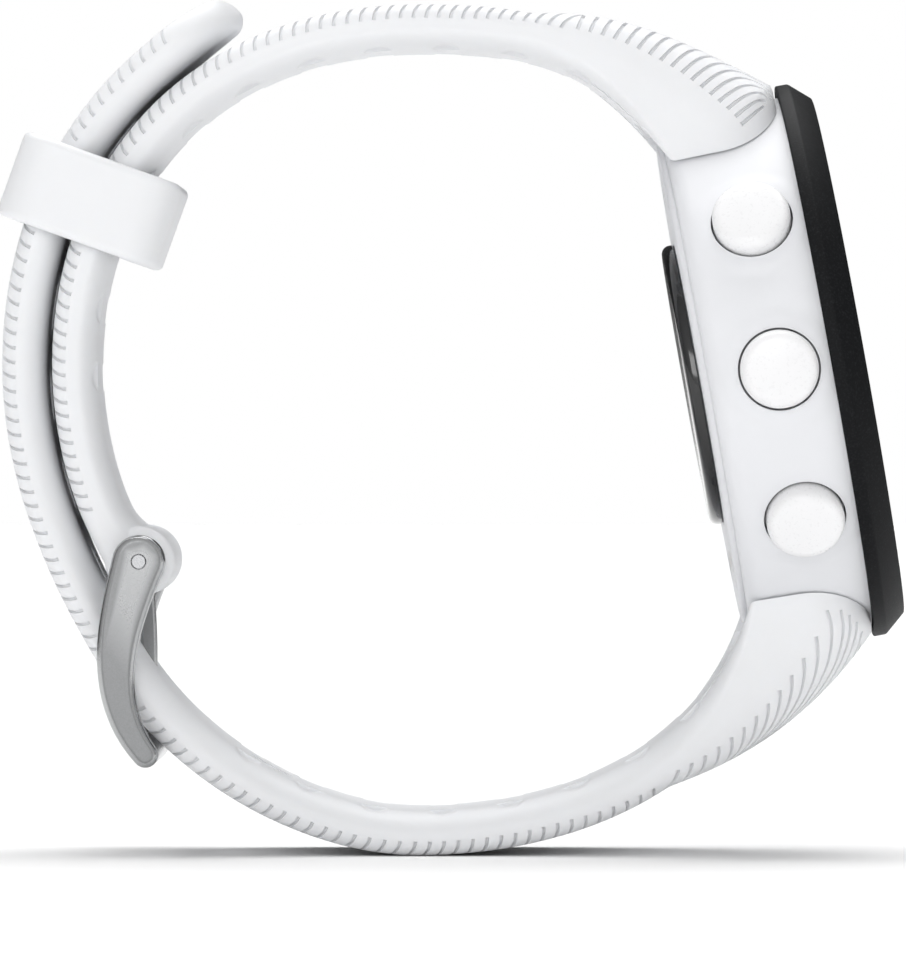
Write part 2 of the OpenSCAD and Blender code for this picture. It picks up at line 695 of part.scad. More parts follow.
module keeper() {
    out = right_of(keeper_way);
    a = atan2(keeper_way[1], keeper_way[0]);
    mid = keeper_in[1] / 2 - keeper_slack;
    centre = keeper_at + mid * out;
    color("white") translate([centre[0], 0, centre[1]]) rotate([0, -a, 0]) rotate([0, 90, 0]) rotate([0, 0, 90])
        linear_extrude(keeper_l, center = true) difference() {
            rounded_rect(keeper_in[0] + 2 * keeper_wall, keeper_in[1] + 2 * keeper_wall, 2.6);
            rounded_rect(keeper_in[0], keeper_in[1], 1);
        }
}

case_shell();
bezel();
lens();
lens_seal();
dial_ring();
display_panel();
light_guide();
display_frame();
main_board();
board_chips();
battery();
gps_antenna();
motor_can();
motor_weight();
motor_shaft();
piezo_disc();
back_cover();
back_gasket();
back_screws();
sensor_window();
sensor_board();
sensor_leds();
charge_contacts();
button_switches();
button_seals();
lug_bar(1);  // upper_lug_bar
lug_bar(-1);  // lower_lug_bar
lug_bar_tips();
lug_bar_springs();
strap_upper();
strap_lower();
buckle_pin();
buckle_frame();
buckle_tongue();
keeper();
button(button_angles[0]);  // light_button
button(button_angles[1]);  // up_button
button(button_angles[2]);  // down_button
button(button_angles[3]);  // start_button
button(button_angles[4]);  // back_button
clip(button_angles[0]);  // light_clip
clip(button_angles[1]);  // up_clip
clip(button_angles[2]);  // down_clip
clip(button_angles[3]);  // start_clip
clip(button_angles[4]);  // back_clip
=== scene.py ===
import json
import math

import bmesh
import bpy
import numpy as np
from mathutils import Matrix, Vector


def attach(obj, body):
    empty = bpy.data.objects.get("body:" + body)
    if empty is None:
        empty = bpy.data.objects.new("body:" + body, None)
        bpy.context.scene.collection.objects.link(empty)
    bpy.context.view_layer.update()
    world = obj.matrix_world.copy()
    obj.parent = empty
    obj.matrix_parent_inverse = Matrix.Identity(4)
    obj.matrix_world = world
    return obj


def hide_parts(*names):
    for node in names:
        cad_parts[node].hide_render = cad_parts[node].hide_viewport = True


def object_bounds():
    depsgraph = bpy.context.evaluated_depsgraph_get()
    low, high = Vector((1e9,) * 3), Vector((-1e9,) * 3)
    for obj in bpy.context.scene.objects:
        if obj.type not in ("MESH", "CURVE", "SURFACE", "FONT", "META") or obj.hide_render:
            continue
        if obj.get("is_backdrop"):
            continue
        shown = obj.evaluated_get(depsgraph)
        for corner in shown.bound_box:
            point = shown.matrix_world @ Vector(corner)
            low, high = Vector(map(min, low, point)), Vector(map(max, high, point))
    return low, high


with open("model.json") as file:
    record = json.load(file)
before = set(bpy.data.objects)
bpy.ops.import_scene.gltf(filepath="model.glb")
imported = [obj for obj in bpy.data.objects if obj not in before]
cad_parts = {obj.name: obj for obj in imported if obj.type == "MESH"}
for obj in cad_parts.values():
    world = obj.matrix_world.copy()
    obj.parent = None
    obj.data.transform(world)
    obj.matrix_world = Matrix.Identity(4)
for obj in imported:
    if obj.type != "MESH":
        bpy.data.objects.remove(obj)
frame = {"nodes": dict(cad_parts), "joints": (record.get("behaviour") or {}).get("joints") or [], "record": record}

bl_info = {
    "name": "Running Watch Builder",
    "version": (1, 0, 0),
    "blender": (4, 5, 0),
    "location": "3D View > Sidebar > Watch",
    "description": "Builds the visible pieces of a running watch around its CAD frame",
    "category": "Add Mesh",
}

MM = 0.001


def linear(hex_code):
    """An sRGB hex colour as linear RGBA."""
    values = [int(hex_code[i : i + 2], 16) / 255 for i in (1, 3, 5)]
    return [v / 12.92 if v <= 0.04045 else ((v + 0.055) / 1.055) ** 2.4 for v in values] + [1.0]


def size(label, description, millimetres):
    return bpy.props.FloatProperty(
        name=label, description=description, default=millimetres * MM, min=0.0, precision=5, unit="LENGTH"
    )


def angle(label, description, degrees):
    return bpy.props.FloatProperty(
        name=label, description=description, default=math.radians(degrees), unit="ROTATION"
    )


def colour(label, description, hex_code):
    return bpy.props.FloatVectorProperty(
        name=label, description=description, default=linear(hex_code), size=4, min=0, max=1, subtype="COLOR"
    )


class WatchCaseSettings(bpy.types.PropertyGroup):
    """Sizes of the case, the bezel, the lens and the buttons."""

    bezel_d: size("Bezel diameter", "Diameter of the bezel", 39.5)
    overhang: size("Bezel overhang", "Width by which the bezel overhangs the case", 0.85)
    height: size("Case height", "Height from the back face to the bezel", 9.0)
    bezel_h: size("Bezel thickness", "Thickness of the bezel", 2.4)
    wall: size("Case wall", "Thickness of the case's side wall", 1.9)
    lens_d: size("Lens diameter", "Diameter of the glass lens", 32.9)
    sensor_d: size("Sensor window diameter", "Diameter of the window on the back", 20.0)
    sensor_bump: size("Sensor window height", "Height by which the window stands out", 0.95)
    button_d: size("Button diameter", "Diameter of a button cap", 5.45)
    button_proud: size("Button height", "Height by which a cap stands out", 1.4)
    button_z: size("Button level", "Height of the buttons above the back face", 5.4)
    button_pitch: angle("Button pitch", "Angle between neighbouring buttons", 33.5)
    halo_width: size("Halo width", "Width of the soft swelling round a button", 1.75)
    halo_rise: size("Halo rise", "Height of the soft swelling round a button", 0.15)


class WatchStrapSettings(bpy.types.PropertyGroup):
    """Sizes of the two strap halves, their grooves and the keeper."""

    width: size("Width", "Width of the strap", 20.0)
    thickness: size("Thickness", "Thickness of the strap", 3.05)
    root_t: size("Root thickness", "Thickness of the strap at the case", 8.9)
    root_flare: size("Root flare", "Width by which the strap is wider at the case", 1.6)
    reach: size("Loop reach", "Inner reach of the loop to the buckle side", 20.5)
    lap_gap: size("Lap gap", "Gap between the tail and the strap that it lies on", 0.45)
    hole_pitch: size("Hole pitch", "Distance between the holes of the tail", 6.4)
    hole_l: size("Hole length", "Length of a hole along the strap", 3.4)
    hole_w: size("Hole width", "Width of a hole", 2.4)
    groove_w: size("Groove width", "Width of a grip groove", 0.25)
    groove_d: size("Groove depth", "Depth of a grip groove", 0.26)
    fan_pitch: size("Fan pitch", "Distance between the grooves that fan out at the case", 0.7)
    keeper_l: size("Keeper length", "Length of the keeper along the strap", 6.2)
    keeper_wall: size("Keeper wall", "Wall of the keeper", 1.45)
    keeper_slack: size("Keeper slack", "Slack inside the keeper under the strap", 1.9)


class WatchBuckleSettings(bpy.types.PropertyGroup):
    """Sizes of the buckle."""

    arm_t: size("Arm thickness", "Thickness of a buckle arm across the strap", 1.7)
    pin_d: size("Pin diameter", "Diameter of the pin between the arms", 1.5)
    tongue_w: size("Tongue width", "Width of the tongue", 1.9)
    tongue_t: size("Tongue thickness", "Thickness of the tongue", 1.1)
    bar_gap: size("Bar gap", "Gap between the buckle's bar and the tail under it", 0.35)
    edge: size("Edge bevel", "Width of the polished bevel along the edges", 0.5)


class WatchFinishSettings(bpy.types.PropertyGroup):
    """Colours of the finishes."""

    silicone: colour("Strap silicone", "White silicone rubber of the strap", "#E9EAEC")
    case: colour("Case polymer", "White polymer of the case", "#E4E5E8")
    cap: colour("Cap polymer", "Glossier white polymer of the button caps", "#F0F0F1")
    bezel: colour("Bezel nylon", "Dark glass-filled nylon of the bezel", "#0F1012")
    steel: colour("Buckle steel", "Bead-blasted stainless steel of the buckle", "#8A8B8C")
    display: colour("Display", "Resting colour of the reflective display", "#9AA39B")
    digits: colour("Digits", "Dark segments of the display", "#14181A")


def settings(name):
    return getattr(bpy.context.scene, name)


def mm(metres):
    return metres * 1000


# ---- Mesh helpers ----


def new_object(name, mesh):
    made = bpy.data.objects.new(name, mesh)
    bpy.context.scene.collection.objects.link(made)
    return made


def mesh_from(name, points, faces):
    """An object from millimetre points and faces, facing outward."""
    mesh = bpy.data.meshes.new(name)
    mesh.from_pydata((np.asarray(points, float) * MM).tolist(), [], [list(map(int, f)) for f in faces])
    work = bmesh.new()
    work.from_mesh(mesh)
    bmesh.ops.recalc_face_normals(work, faces=work.faces)
    work.to_mesh(mesh)
    work.free()
    return new_object(name, mesh)


def grid_faces(rows, cols, closed):
    """Quads of a grid of rows by cols points, closed round the columns if asked."""
    i, j = np.meshgrid(np.arange(rows - 1), np.arange(cols if closed else cols - 1), indexing="ij")
    k = (j + 1) % cols
    return np.stack([i * cols + j, i * cols + k, (i + 1) * cols + k, (i + 1) * cols + j], -1).reshape(-1, 4)


def tube(name, points):
    """A closed solid from rings of points, shape (rings, points, 3), with flat ends."""
    rows, cols = points.shape[:2]
    faces = grid_faces(rows, cols, True).tolist()
    faces += [list(range(cols)), [(rows - 1) * cols + j for j in range(cols)]]
    return mesh_from(name, points.reshape(-1, 3), faces)


def lathe(name, profile, steps=128, place=None):
    """A closed ring or disc turned about its local Z from (radius, height) pairs, then placed."""
    turn = np.linspace(0, 2 * math.pi, steps, endpoint=False)
    profile = np.asarray(profile, float)
    on_axis = profile[:, 0] < 1e-6
    points, rows = [], []
    for (r, h), centre in zip(profile, on_axis):
        if centre:
            rows.append([len(points)] * steps)
            points.append([0, 0, h])
        else:
            rows.append(list(range(len(points), len(points) + steps)))
            points += [[r * math.cos(a), r * math.sin(a), h] for a in turn]
    faces = []
    for a, b in zip(rows, rows[1:] + rows[:1]):
        for j in range(steps):
            k = (j + 1) % steps
            face = list(dict.fromkeys([a[j], a[k], b[k], b[j]]))
            if len(face) > 2:
                faces.append(face)
    points = np.array(points)
    return mesh_from(name, place(points) if place else points, faces)


def arc(centre, radius, start, end, steps=6):
    """Points of an arc in degrees, ends included."""
    turns = [math.radians(start + (end - start) * i / steps) for i in range(steps + 1)]
    return [[centre[0] + radius * math.cos(t), centre[1] + radius * math.sin(t)] for t in turns]


def extrude(name, outline, low, high, place):
    """A prism of a 2-D outline between two heights, placed by a function of (u, v, h) points."""
    outline = np.asarray(outline, float)
    count = len(outline)
    ends = [np.column_stack([outline, np.full(count, h)]) for h in (low, high)]
    faces = [[j, (j + 1) % count, count + (j + 1) % count, count + j] for j in range(count)]
    faces += [list(range(count)), list(range(count, 2 * count))]
    return mesh_from(name, place(np.vstack(ends)), faces)


def apply_modifiers(obj):
    graph = bpy.context.evaluated_depsgraph_get()
    graph.update()
    made = bpy.data.meshes.new_from_object(obj.evaluated_get(graph))
    old, obj.data = obj.data, made
    obj.modifiers.clear()
    bpy.data.meshes.remove(old)


def combine(obj, others, operation="DIFFERENCE"):
    """Cuts the others out of obj, or joins them to it, and removes them."""
    for other in others:
        step = obj.modifiers.new("combine", "BOOLEAN")
        step.operation, step.solver, step.object = operation, "MANIFOLD", other
        step.material_mode = "TRANSFER" if other.data.materials else "INDEX"
    apply_modifiers(obj)
    if not obj.data.polygons:
        raise RuntimeError(f"{obj.name} is empty after {operation.lower()}")
    for other in others:
        bpy.data.meshes.remove(other.data)
    return obj


def soften(obj, width, segments=2, limit=40):
    """Rounds the sharp edges of an object by a width in millimetres."""
    step = obj.modifiers.new("bevel", "BEVEL")
    step.width, step.segments, step.limit_method = width * MM, segments, "ANGLE"
    step.angle_limit = math.radians(limit)
    apply_modifiers(obj)
    return obj


def shade(obj, sharp=38):
    obj.data.shade_smooth()
    obj.data.set_sharp_from_angle(angle=math.radians(sharp))


def finish_piece(obj, body, slot, material, *nodes, sharp=38):
    if not any(obj.data.materials):
        obj.data.materials.clear()
        obj.data.materials.append(material)
    shade(obj, sharp)
    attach(obj, body)
    if nodes:
        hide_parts(*nodes)
    return obj


# ---- Places, from the frame and the settings ----


def case_axes():
    """The case's origin and its x, y and z directions in the loop, from the back face's mount."""
    case = settings("watch_case")
    mounts = {m["name"]: m for m in frame["record"]["mounts"]}
    back = np.array(mounts["rear_sensor_face"]["pos_m"]) * 1000
    z = -np.array(mounts["rear_sensor_face"]["axis"], float)
    z /= np.linalg.norm(z)
    x = np.array([0.0, 1.0, 0.0])
    return back + z * mm(case.sensor_bump), x, np.cross(z, x), z


def in_case(points):
    """Points of the case's own axes carried to the loop."""
    origin, x, y, z = case_axes()
    points = np.asarray(points, float)
    return origin + points[..., :1] * x + points[..., 1:2] * y + points[..., 2:3] * z


def radial(turn):
    """A placing function for shapes whose local Z runs outward along a button's axis."""
    case = settings("watch_case")
    c, s, level = math.cos(turn), math.sin(turn), mm(case.button_z)

    def place(points):
        u, v, h = points[..., 0], points[..., 1], points[..., 2]
        return in_case(np.stack([h * c - v * s, h * s + v * c, level - u], -1))

    return place


def button_turns():
    pitch = settings("watch_case").button_pitch
    return {
        "light": math.pi - pitch,
        "up": math.pi,
        "down": math.pi + pitch,
        "start": pitch,
        "back": -pitch,
    }


def pin_centre():
    for joint in frame["joints"]:
        if joint["name"] == "buckle_swing":
            return np.array([joint["pos_m"][0], joint["pos_m"][2]]) * 1000
    raise RuntimeError("the frame has no buckle_swing joint")


def heading(degrees):
    return np.array([math.cos(math.radians(degrees)), math.sin(math.radians(degrees))])


def leg(start, start_way, reach, end, end_way, end_reach):
    """One curve of a route, with a heading in degrees and a reach at each end."""
    start, end = np.array(start, float), np.array(end, float)
    return np.array([start, start + reach * heading(start_way), end - end_reach * heading(end_way), end])


def along(curve, t):
    t = np.atleast_1d(np.asarray(t, float))[:, None]
    a, b, c, d = curve
    return (1 - t) ** 3 * a + 3 * t * (1 - t) ** 2 * b + 3 * t * t * (1 - t) * c + t**3 * d


def way_along(curve, t):
    t = np.atleast_1d(np.asarray(t, float))[:, None]
    a, b, c, d = curve
    way = (1 - t) ** 2 * (b - a) + 2 * t * (1 - t) * (c - b) + t * t * (d - c)
    return way / np.linalg.norm(way, axis=1)[:, None]


def length_of(curve):
    points = along(curve, np.linspace(0, 1, 300))
    return np.linalg.norm(np.diff(points, axis=0), axis=1).sum()


def right_of(way):
    return np.stack([way[..., 1], -way[..., 0]], -1)


SEAM_RUN = 3.5
UPPER_SEAM_WAY = 128
LOWER_SEAM_WAY = 255.6
TIP_LEN = 8.3
LIFT_T = 0.47


class Loop:
    """The inner faces' lines of the two strap halves in the X-Z plane, in millimetres."""

    def __init__(self):
        case, strap = settings("watch_case"), settings("watch_strap")
        self.case_r = mm(case.bezel_d) / 2 - mm(case.overhang)
        self.width, self.thickness = mm(strap.width), mm(strap.thickness)
        self.lap = self.thickness + mm(strap.lap_gap)
        half = self.width / 2 + mm(strap.root_flare) / 2
        seam_y = math.sqrt(self.case_r**2 - half**2)
        self.pin = pin_centre()
        left_z, reach = self.pin[1] + 13.7, mm(strap.reach)
        self.top_seam = in_case([0, seam_y, 0.8])[[0, 2]]
        self.low_seam = in_case([0, -seam_y, 0.8])[[0, 2]]
        top, low = self.top_seam, self.low_seam
        crest, trough = [2.4, top[1] + 8.08], [2, low[1] - 14.84]
        left, bend = np.array([-reach, left_z]), [1.9 - reach, left_z - 9.55]
        through = self.pin + [0.1, -6.26]
        self.upper = [
            leg(top - SEAM_RUN * heading(UPPER_SEAM_WAY), UPPER_SEAM_WAY, 1.2, top, UPPER_SEAM_WAY, 1.2),
            leg(top, UPPER_SEAM_WAY, 8.2, crest, 180, 9),
            leg(crest, 180, 15.2, left, 270, 12.2),
            leg(left, 270, 3, bend, 294, 3),
            leg(bend, 294, 1.5, self.pin + [0.8, 0.3], 302, 1),
        ]
        self.lower = [
            leg(low - SEAM_RUN * heading(LOWER_SEAM_WAY), LOWER_SEAM_WAY, 1.2, low, LOWER_SEAM_WAY, 1.2),
            leg(low, LOWER_SEAM_WAY, 11.2, trough, 180, 10.1),
            leg(trough, 180, 6.3, through, 122, 8.5),
            leg(through, 122, 7.4, left - [self.lap, 0], 90, 7),
        ]

    def upper_line(self):
        return self.line(self.upper)

    def lower_line(self):
        """The tail follows the other half's bend at the lap distance, and then its tip stands off."""
        points, ways = self.raw(self.lower)
        t = np.linspace(1, LIFT_T, 300)[1:]
        over = way_along(self.upper[2], t)
        points = np.vstack([points, along(self.upper[2], t) + self.lap * right_of(over)])
        ways = np.vstack([ways, -over])
        lift, lift_way = points[-1], math.degrees(math.atan2(ways[-1][1], ways[-1][0]))
        tip = lift + TIP_LEN * heading(lift_way - 4.5)
        last = leg(lift, lift_way, 2.2, tip, lift_way - 9, 2.2)
        t = np.linspace(0, 1, 80)[1:]
        return self.measured(np.vstack([points, along(last, t)]), np.vstack([ways, way_along(last, t)]))

    def raw(self, route):
        t = np.linspace(0, 1, 300, endpoint=False)
        points = np.vstack([along(c, t) for c in route] + [route[-1][3:4]])
        return points, np.vstack([way_along(c, t) for c in route] + [way_along(route[-1], 1)])

    def line(self, route):
        return self.measured(*self.raw(route))

    @staticmethod
    def measured(points, ways):
        """Points, ways and the distance of each from the seam along the line."""
        steps = np.linalg.norm(np.diff(points, axis=0), axis=1)
        return points, ways, np.concatenate([[0], np.cumsum(steps)]) - SEAM_RUN


# ---- Materials ----


def put(tree, kind, values=None, links=None, **attributes):
    """Adds a node, sets its attributes and input values, and links inputs to (node, output) pairs."""
    made = tree.nodes.new(kind)
    for key, value in attributes.items():
        setattr(made, key, value)
    for key, value in (values or {}).items():
        made.inputs[key].default_value = value
    for key, (source, output) in (links or {}).items():
        tree.links.new(source.outputs[output], made.inputs[key])
    return made


def surface(name):
    material = bpy.data.materials.new(name)
    material.use_nodes = True
    material.node_tree.nodes.clear()
    return material, material.node_tree


def close_surface(tree, shader):
    put(tree, "ShaderNodeOutputMaterial", links={"Surface": (shader, "BSDF")})


def per_mm(count):
    """A texture scale that gives this many features in a millimetre."""
    return count / MM


def grain(tree, coordinates, features_per_mm, depth_mm, strength=1.0, detail=2.0):
    """A fine bump from noise of a real grain size and depth."""
    noise = put(
        tree, "ShaderNodeTexNoise", {"Scale": per_mm(features_per_mm), "Detail": detail},
        {"Vector": (coordinates, "Object")},
    )
    bump = put(
        tree, "ShaderNodeBump", {"Strength": strength, "Distance": depth_mm * MM}, {"Height": (noise, "Fac")}
    )
    return noise, bump


def darker(rgba, share):
    return [c * share for c in rgba[:3]] + [1.0]


def mix_input(node, letter):
    """The colour input A or B of a Mix node in RGBA mode."""
    return [s for s in node.inputs if s.name == letter and s.type == "RGBA"][0]


def blend_colours(tree, factor, first, second, method="MIX"):
    """A Mix of two colours, each a value or a (node, output) pair."""
    made = put(tree, "ShaderNodeMix", data_type="RGBA", blend_type=method)
    if isinstance(factor, tuple):
        tree.links.new(factor[0].outputs[factor[1]], made.inputs["Factor"])
    else:
        made.inputs["Factor"].default_value = factor
    for letter, value in (("A", first), ("B", second)):
        socket = mix_input(made, letter)
        if isinstance(value, tuple):
            source = value[0].outputs
            found = [s for s in source if s.name == value[1] and s.type == "RGBA"] or [source[value[1]]]
            tree.links.new(found[0], socket)
        else:
            socket.default_value = value
    return made


def remap(tree, source, low, high, to_low, to_high):
    return put(
        tree, "ShaderNodeMapRange",
        {"From Min": low, "From Max": high, "To Min": to_low, "To Max": to_high},
        {"Value": source},
    )


def liquid_silicone(name, base, rough=0.46):
    """Liquid silicone rubber moulded in a satin-blasted tool: a soft, even sheen with no sharp
    highlight, and a little light through thin edges."""
    material, tree = surface(name)
    where = put(tree, "ShaderNodeTexCoord")
    # Blasted tool grain is about 0.03 mm and is drawn at 0.1 mm so that it shows.
    fine, bump = grain(tree, where, 10, 0.0035, 0.5)
    cloud = put(
        tree, "ShaderNodeTexNoise", {"Scale": per_mm(0.12), "Detail": 3.0}, {"Vector": (where, "Object")}
    )
    drift = remap(tree, (cloud, "Fac"), 0.35, 0.65, 0.0, 0.35)
    colour_now = blend_colours(tree, (drift, "Result"), base, darker(base, 0.965))
    roughness = remap(tree, (fine, "Fac"), 0.3, 0.7, rough - 0.05, rough + 0.07)
    shader = put(
        tree, "ShaderNodeBsdfPrincipled",
        {"IOR": 1.41, "Subsurface Weight": 0.12, "Subsurface Scale": 0.0006,
         "Subsurface Radius": (1.0, 0.9, 0.8), "Sheen Weight": 0.05, "Sheen Roughness": 0.5},
        {"Roughness": (roughness, "Result"), "Normal": (bump, "Normal")},
    )
    link_colour(tree, colour_now, shader)
    close_surface(tree, shader)
    return material


def link_colour(tree, mix, shader):
    out = [s for s in mix.outputs if s.type == "RGBA"][0]
    tree.links.new(out, shader.inputs["Base Color"])


def moulded_polymer(name, base, rough, grain_per_mm, depth_mm, coat=0.0, shine=0.5, speckle=0.0):
    """Injection-moulded polymer. The tool's grain sets the sheen: finer and shallower is glossier."""
    material, tree = surface(name)
    where = put(tree, "ShaderNodeTexCoord")
    fine, bump = grain(tree, where, grain_per_mm, depth_mm, 0.6, 3.0)
    cloud = put(
        tree, "ShaderNodeTexNoise", {"Scale": per_mm(0.2), "Detail": 3.0}, {"Vector": (where, "Object")}
    )
    drift = remap(tree, (cloud, "Fac"), 0.35, 0.65, 0.0, 0.4)
    mix = blend_colours(tree, (drift, "Result"), base, darker(base, 0.955))
    if speckle:
        spots = remap(tree, (fine, "Fac"), 0.5, 0.75, 0.0, speckle)
        mix = blend_colours(tree, (spots, "Result"), (mix, "Result"), linear("#55575B"))
    roughness = remap(tree, (fine, "Fac"), 0.3, 0.7, rough - 0.05, rough + 0.06)
    shader = put(
        tree, "ShaderNodeBsdfPrincipled",
        {"IOR": 1.49, "Specular IOR Level": shine, "Coat Weight": coat, "Coat Roughness": 0.12},
        {"Roughness": (roughness, "Result"), "Normal": (bump, "Normal")},
    )
    link_colour(tree, mix, shader)
    close_surface(tree, shader)
    return material


def worked_metal(name, base, rough, grain_per_mm, depth_mm, worn=0.0, stretch=(1, 1, 1)):
    """Metal whose surface is bead-blasted, turned or plated. Bevelled edges are rubbed brighter."""
    material, tree = surface(name)
    where = put(tree, "ShaderNodeTexCoord")
    turned = put(
        tree, "ShaderNodeMapping", {"Scale": stretch}, {"Vector": (where, "Object")}
    )
    noise = put(
        tree, "ShaderNodeTexNoise", {"Scale": per_mm(grain_per_mm), "Detail": 3.0},
        {"Vector": (turned, "Vector")},
    )
    bump = put(
        tree, "ShaderNodeBump", {"Strength": 0.5, "Distance": depth_mm * MM}, {"Height": (noise, "Fac")}
    )
    tint = remap(tree, (noise, "Fac"), 0.3, 0.7, 0.0, 0.5)
    mix = blend_colours(tree, (tint, "Result"), base, darker(base, 0.85))
    low = remap(tree, (noise, "Fac"), 0.3, 0.7, rough - 0.05, rough + 0.08)
    roughness = (low, "Result")
    if worn:
        edge = put(tree, "ShaderNodeAttribute", attribute_name="edge")
        mix = blend_colours(tree, (edge, "Fac"), (mix, "Result"), linear("#B4B5B6"))
        smooth = put(
            tree, "ShaderNodeMix", {"B": 0.18}, {"Factor": (edge, "Fac"), "A": (low, "Result")},
            data_type="FLOAT",
        )
        roughness = (smooth, "Result")
    shader = put(
        tree, "ShaderNodeBsdfPrincipled", {"Metallic": 1.0},
        {"Roughness": roughness, "Normal": (bump, "Normal")},
    )
    link_colour(tree, mix, shader)
    close_surface(tree, shader)
    return material


def mineral_glass(name):
    """Chemically strengthened mineral glass, polished: clear, with a crisp reflection."""
    material, tree = surface(name)
    where = put(tree, "ShaderNodeTexCoord")
    smudge = put(
        tree, "ShaderNodeTexNoise", {"Scale": per_mm(0.15), "Detail": 4.0}, {"Vector": (where, "Object")}
    )
    haze = remap(tree, (smudge, "Fac"), 0.4, 0.7, 0.01, 0.05)
    shader = put(
        tree, "ShaderNodeBsdfPrincipled",
        {"Base Color": (0.96, 0.98, 0.98, 1), "Transmission Weight": 1.0, "IOR": 1.51},
        {"Roughness": (haze, "Result")},
    )
    close_surface(tree, shader)
    return material


MATERIALS = {}


def materials():
    """All finishes, made once from the finish settings."""
    if MATERIALS:
        return MATERIALS
    tints = settings("watch_finish")
    white, case, cap = list(tints.silicone), list(tints.case), list(tints.cap)
    MATERIALS.update(
        strap=liquid_silicone("liquid_silicone_satin", white, 0.5),
        # Painted shade: the grooves' walls are a little greyer and rougher, standing in for the shade that falls
        # in them
        groove=liquid_silicone("liquid_silicone_groove", darker(white, 0.95), 0.6),
        keeper=liquid_silicone("liquid_silicone_smooth", white, 0.42),
        rubber=liquid_silicone("black_seal_rubber", linear("#191A1B"), 0.6),
        # Fibre-reinforced polymer from a fine-grained tool: a dry satin with no clear reflection
        case=moulded_polymer("satin_case_polymer", case, 0.42, 9, 0.003),
        # Polished tool: the caps are a shade glossier than the case
        cap=moulded_polymer("soft_gloss_cap_polymer", cap, 0.3, 5, 0.0003, coat=0.15),
        # Glass-filled nylon from an eroded tool: a dark, peppery grain of about 0.15 mm
        bezel=moulded_polymer(
            "glass_filled_nylon", list(tints.bezel), 0.55, 7, 0.012, shine=0.12, speckle=0.12
        ),
        sensor=moulded_polymer("polished_black_window", linear("#0C0D0F"), 0.12, 3, 0.0005, coat=0.5),
        ink=moulded_polymer("printed_black_ink", linear("#0B0C0D"), 0.55, 6, 0.001),
        grey=moulded_polymer("grey_inner_polymer", linear("#5A5C5F"), 0.5, 6, 0.002),
        board=moulded_polymer("solder_mask_laminate", linear("#11472B"), 0.35, 4, 0.004, coat=0.2),
        chips=moulded_polymer("moulded_chip_resin", linear("#1B1C1E"), 0.6, 12, 0.004),
        diffuser=moulded_polymer("milky_light_guide", linear("#EDEFE9"), 0.3, 4, 0.001),
        # Reflective display behind glass: matt grey-green with a fine grain of cells
        display=moulded_polymer("reflective_display", list(tints.display), 0.35, 8, 0.001),
        digits=moulded_polymer("display_segment", list(tints.digits), 0.4, 8, 0.001),
        marks=moulded_polymer("printed_white_ink", linear("#D9DADB"), 0.5, 6, 0.001),
        # Stainless steel blasted with fine beads, its edges polished afterwards
        buckle=worked_metal("bead_blasted_stainless", list(tints.steel), 0.38, 12, 0.004, worn=1.0),
        steel=worked_metal("turned_stainless", linear("#B9BABC"), 0.25, 9, 0.003, stretch=(1, 0.1, 1)),
        gold=worked_metal("gold_plated_contact", linear("#E3BE6A"), 0.2, 6, 0.001),
        brass=worked_metal("plated_brass_strip", linear("#C9A35A"), 0.3, 6, 0.002),
        tungsten=worked_metal("sintered_tungsten", linear("#77787B"), 0.45, 10, 0.006),
        cell=worked_metal("pouch_cell_foil", linear("#BFC1C4"), 0.35, 3, 0.01),
        glass=mineral_glass("mineral_glass"),
    )
    return MATERIALS


# ---- Strap ----

WALL_FOOT = 0.7
ROOT_LEN = 13.0
FAN_END = 11.0
SCOOP_PITCH = 4.8
SCOOP_R = 1.6
SCOOP_SET = 1.25


def soft_step(x):
    x = np.clip(x, 0, 1)
    return x * x * (3 - 2 * x)


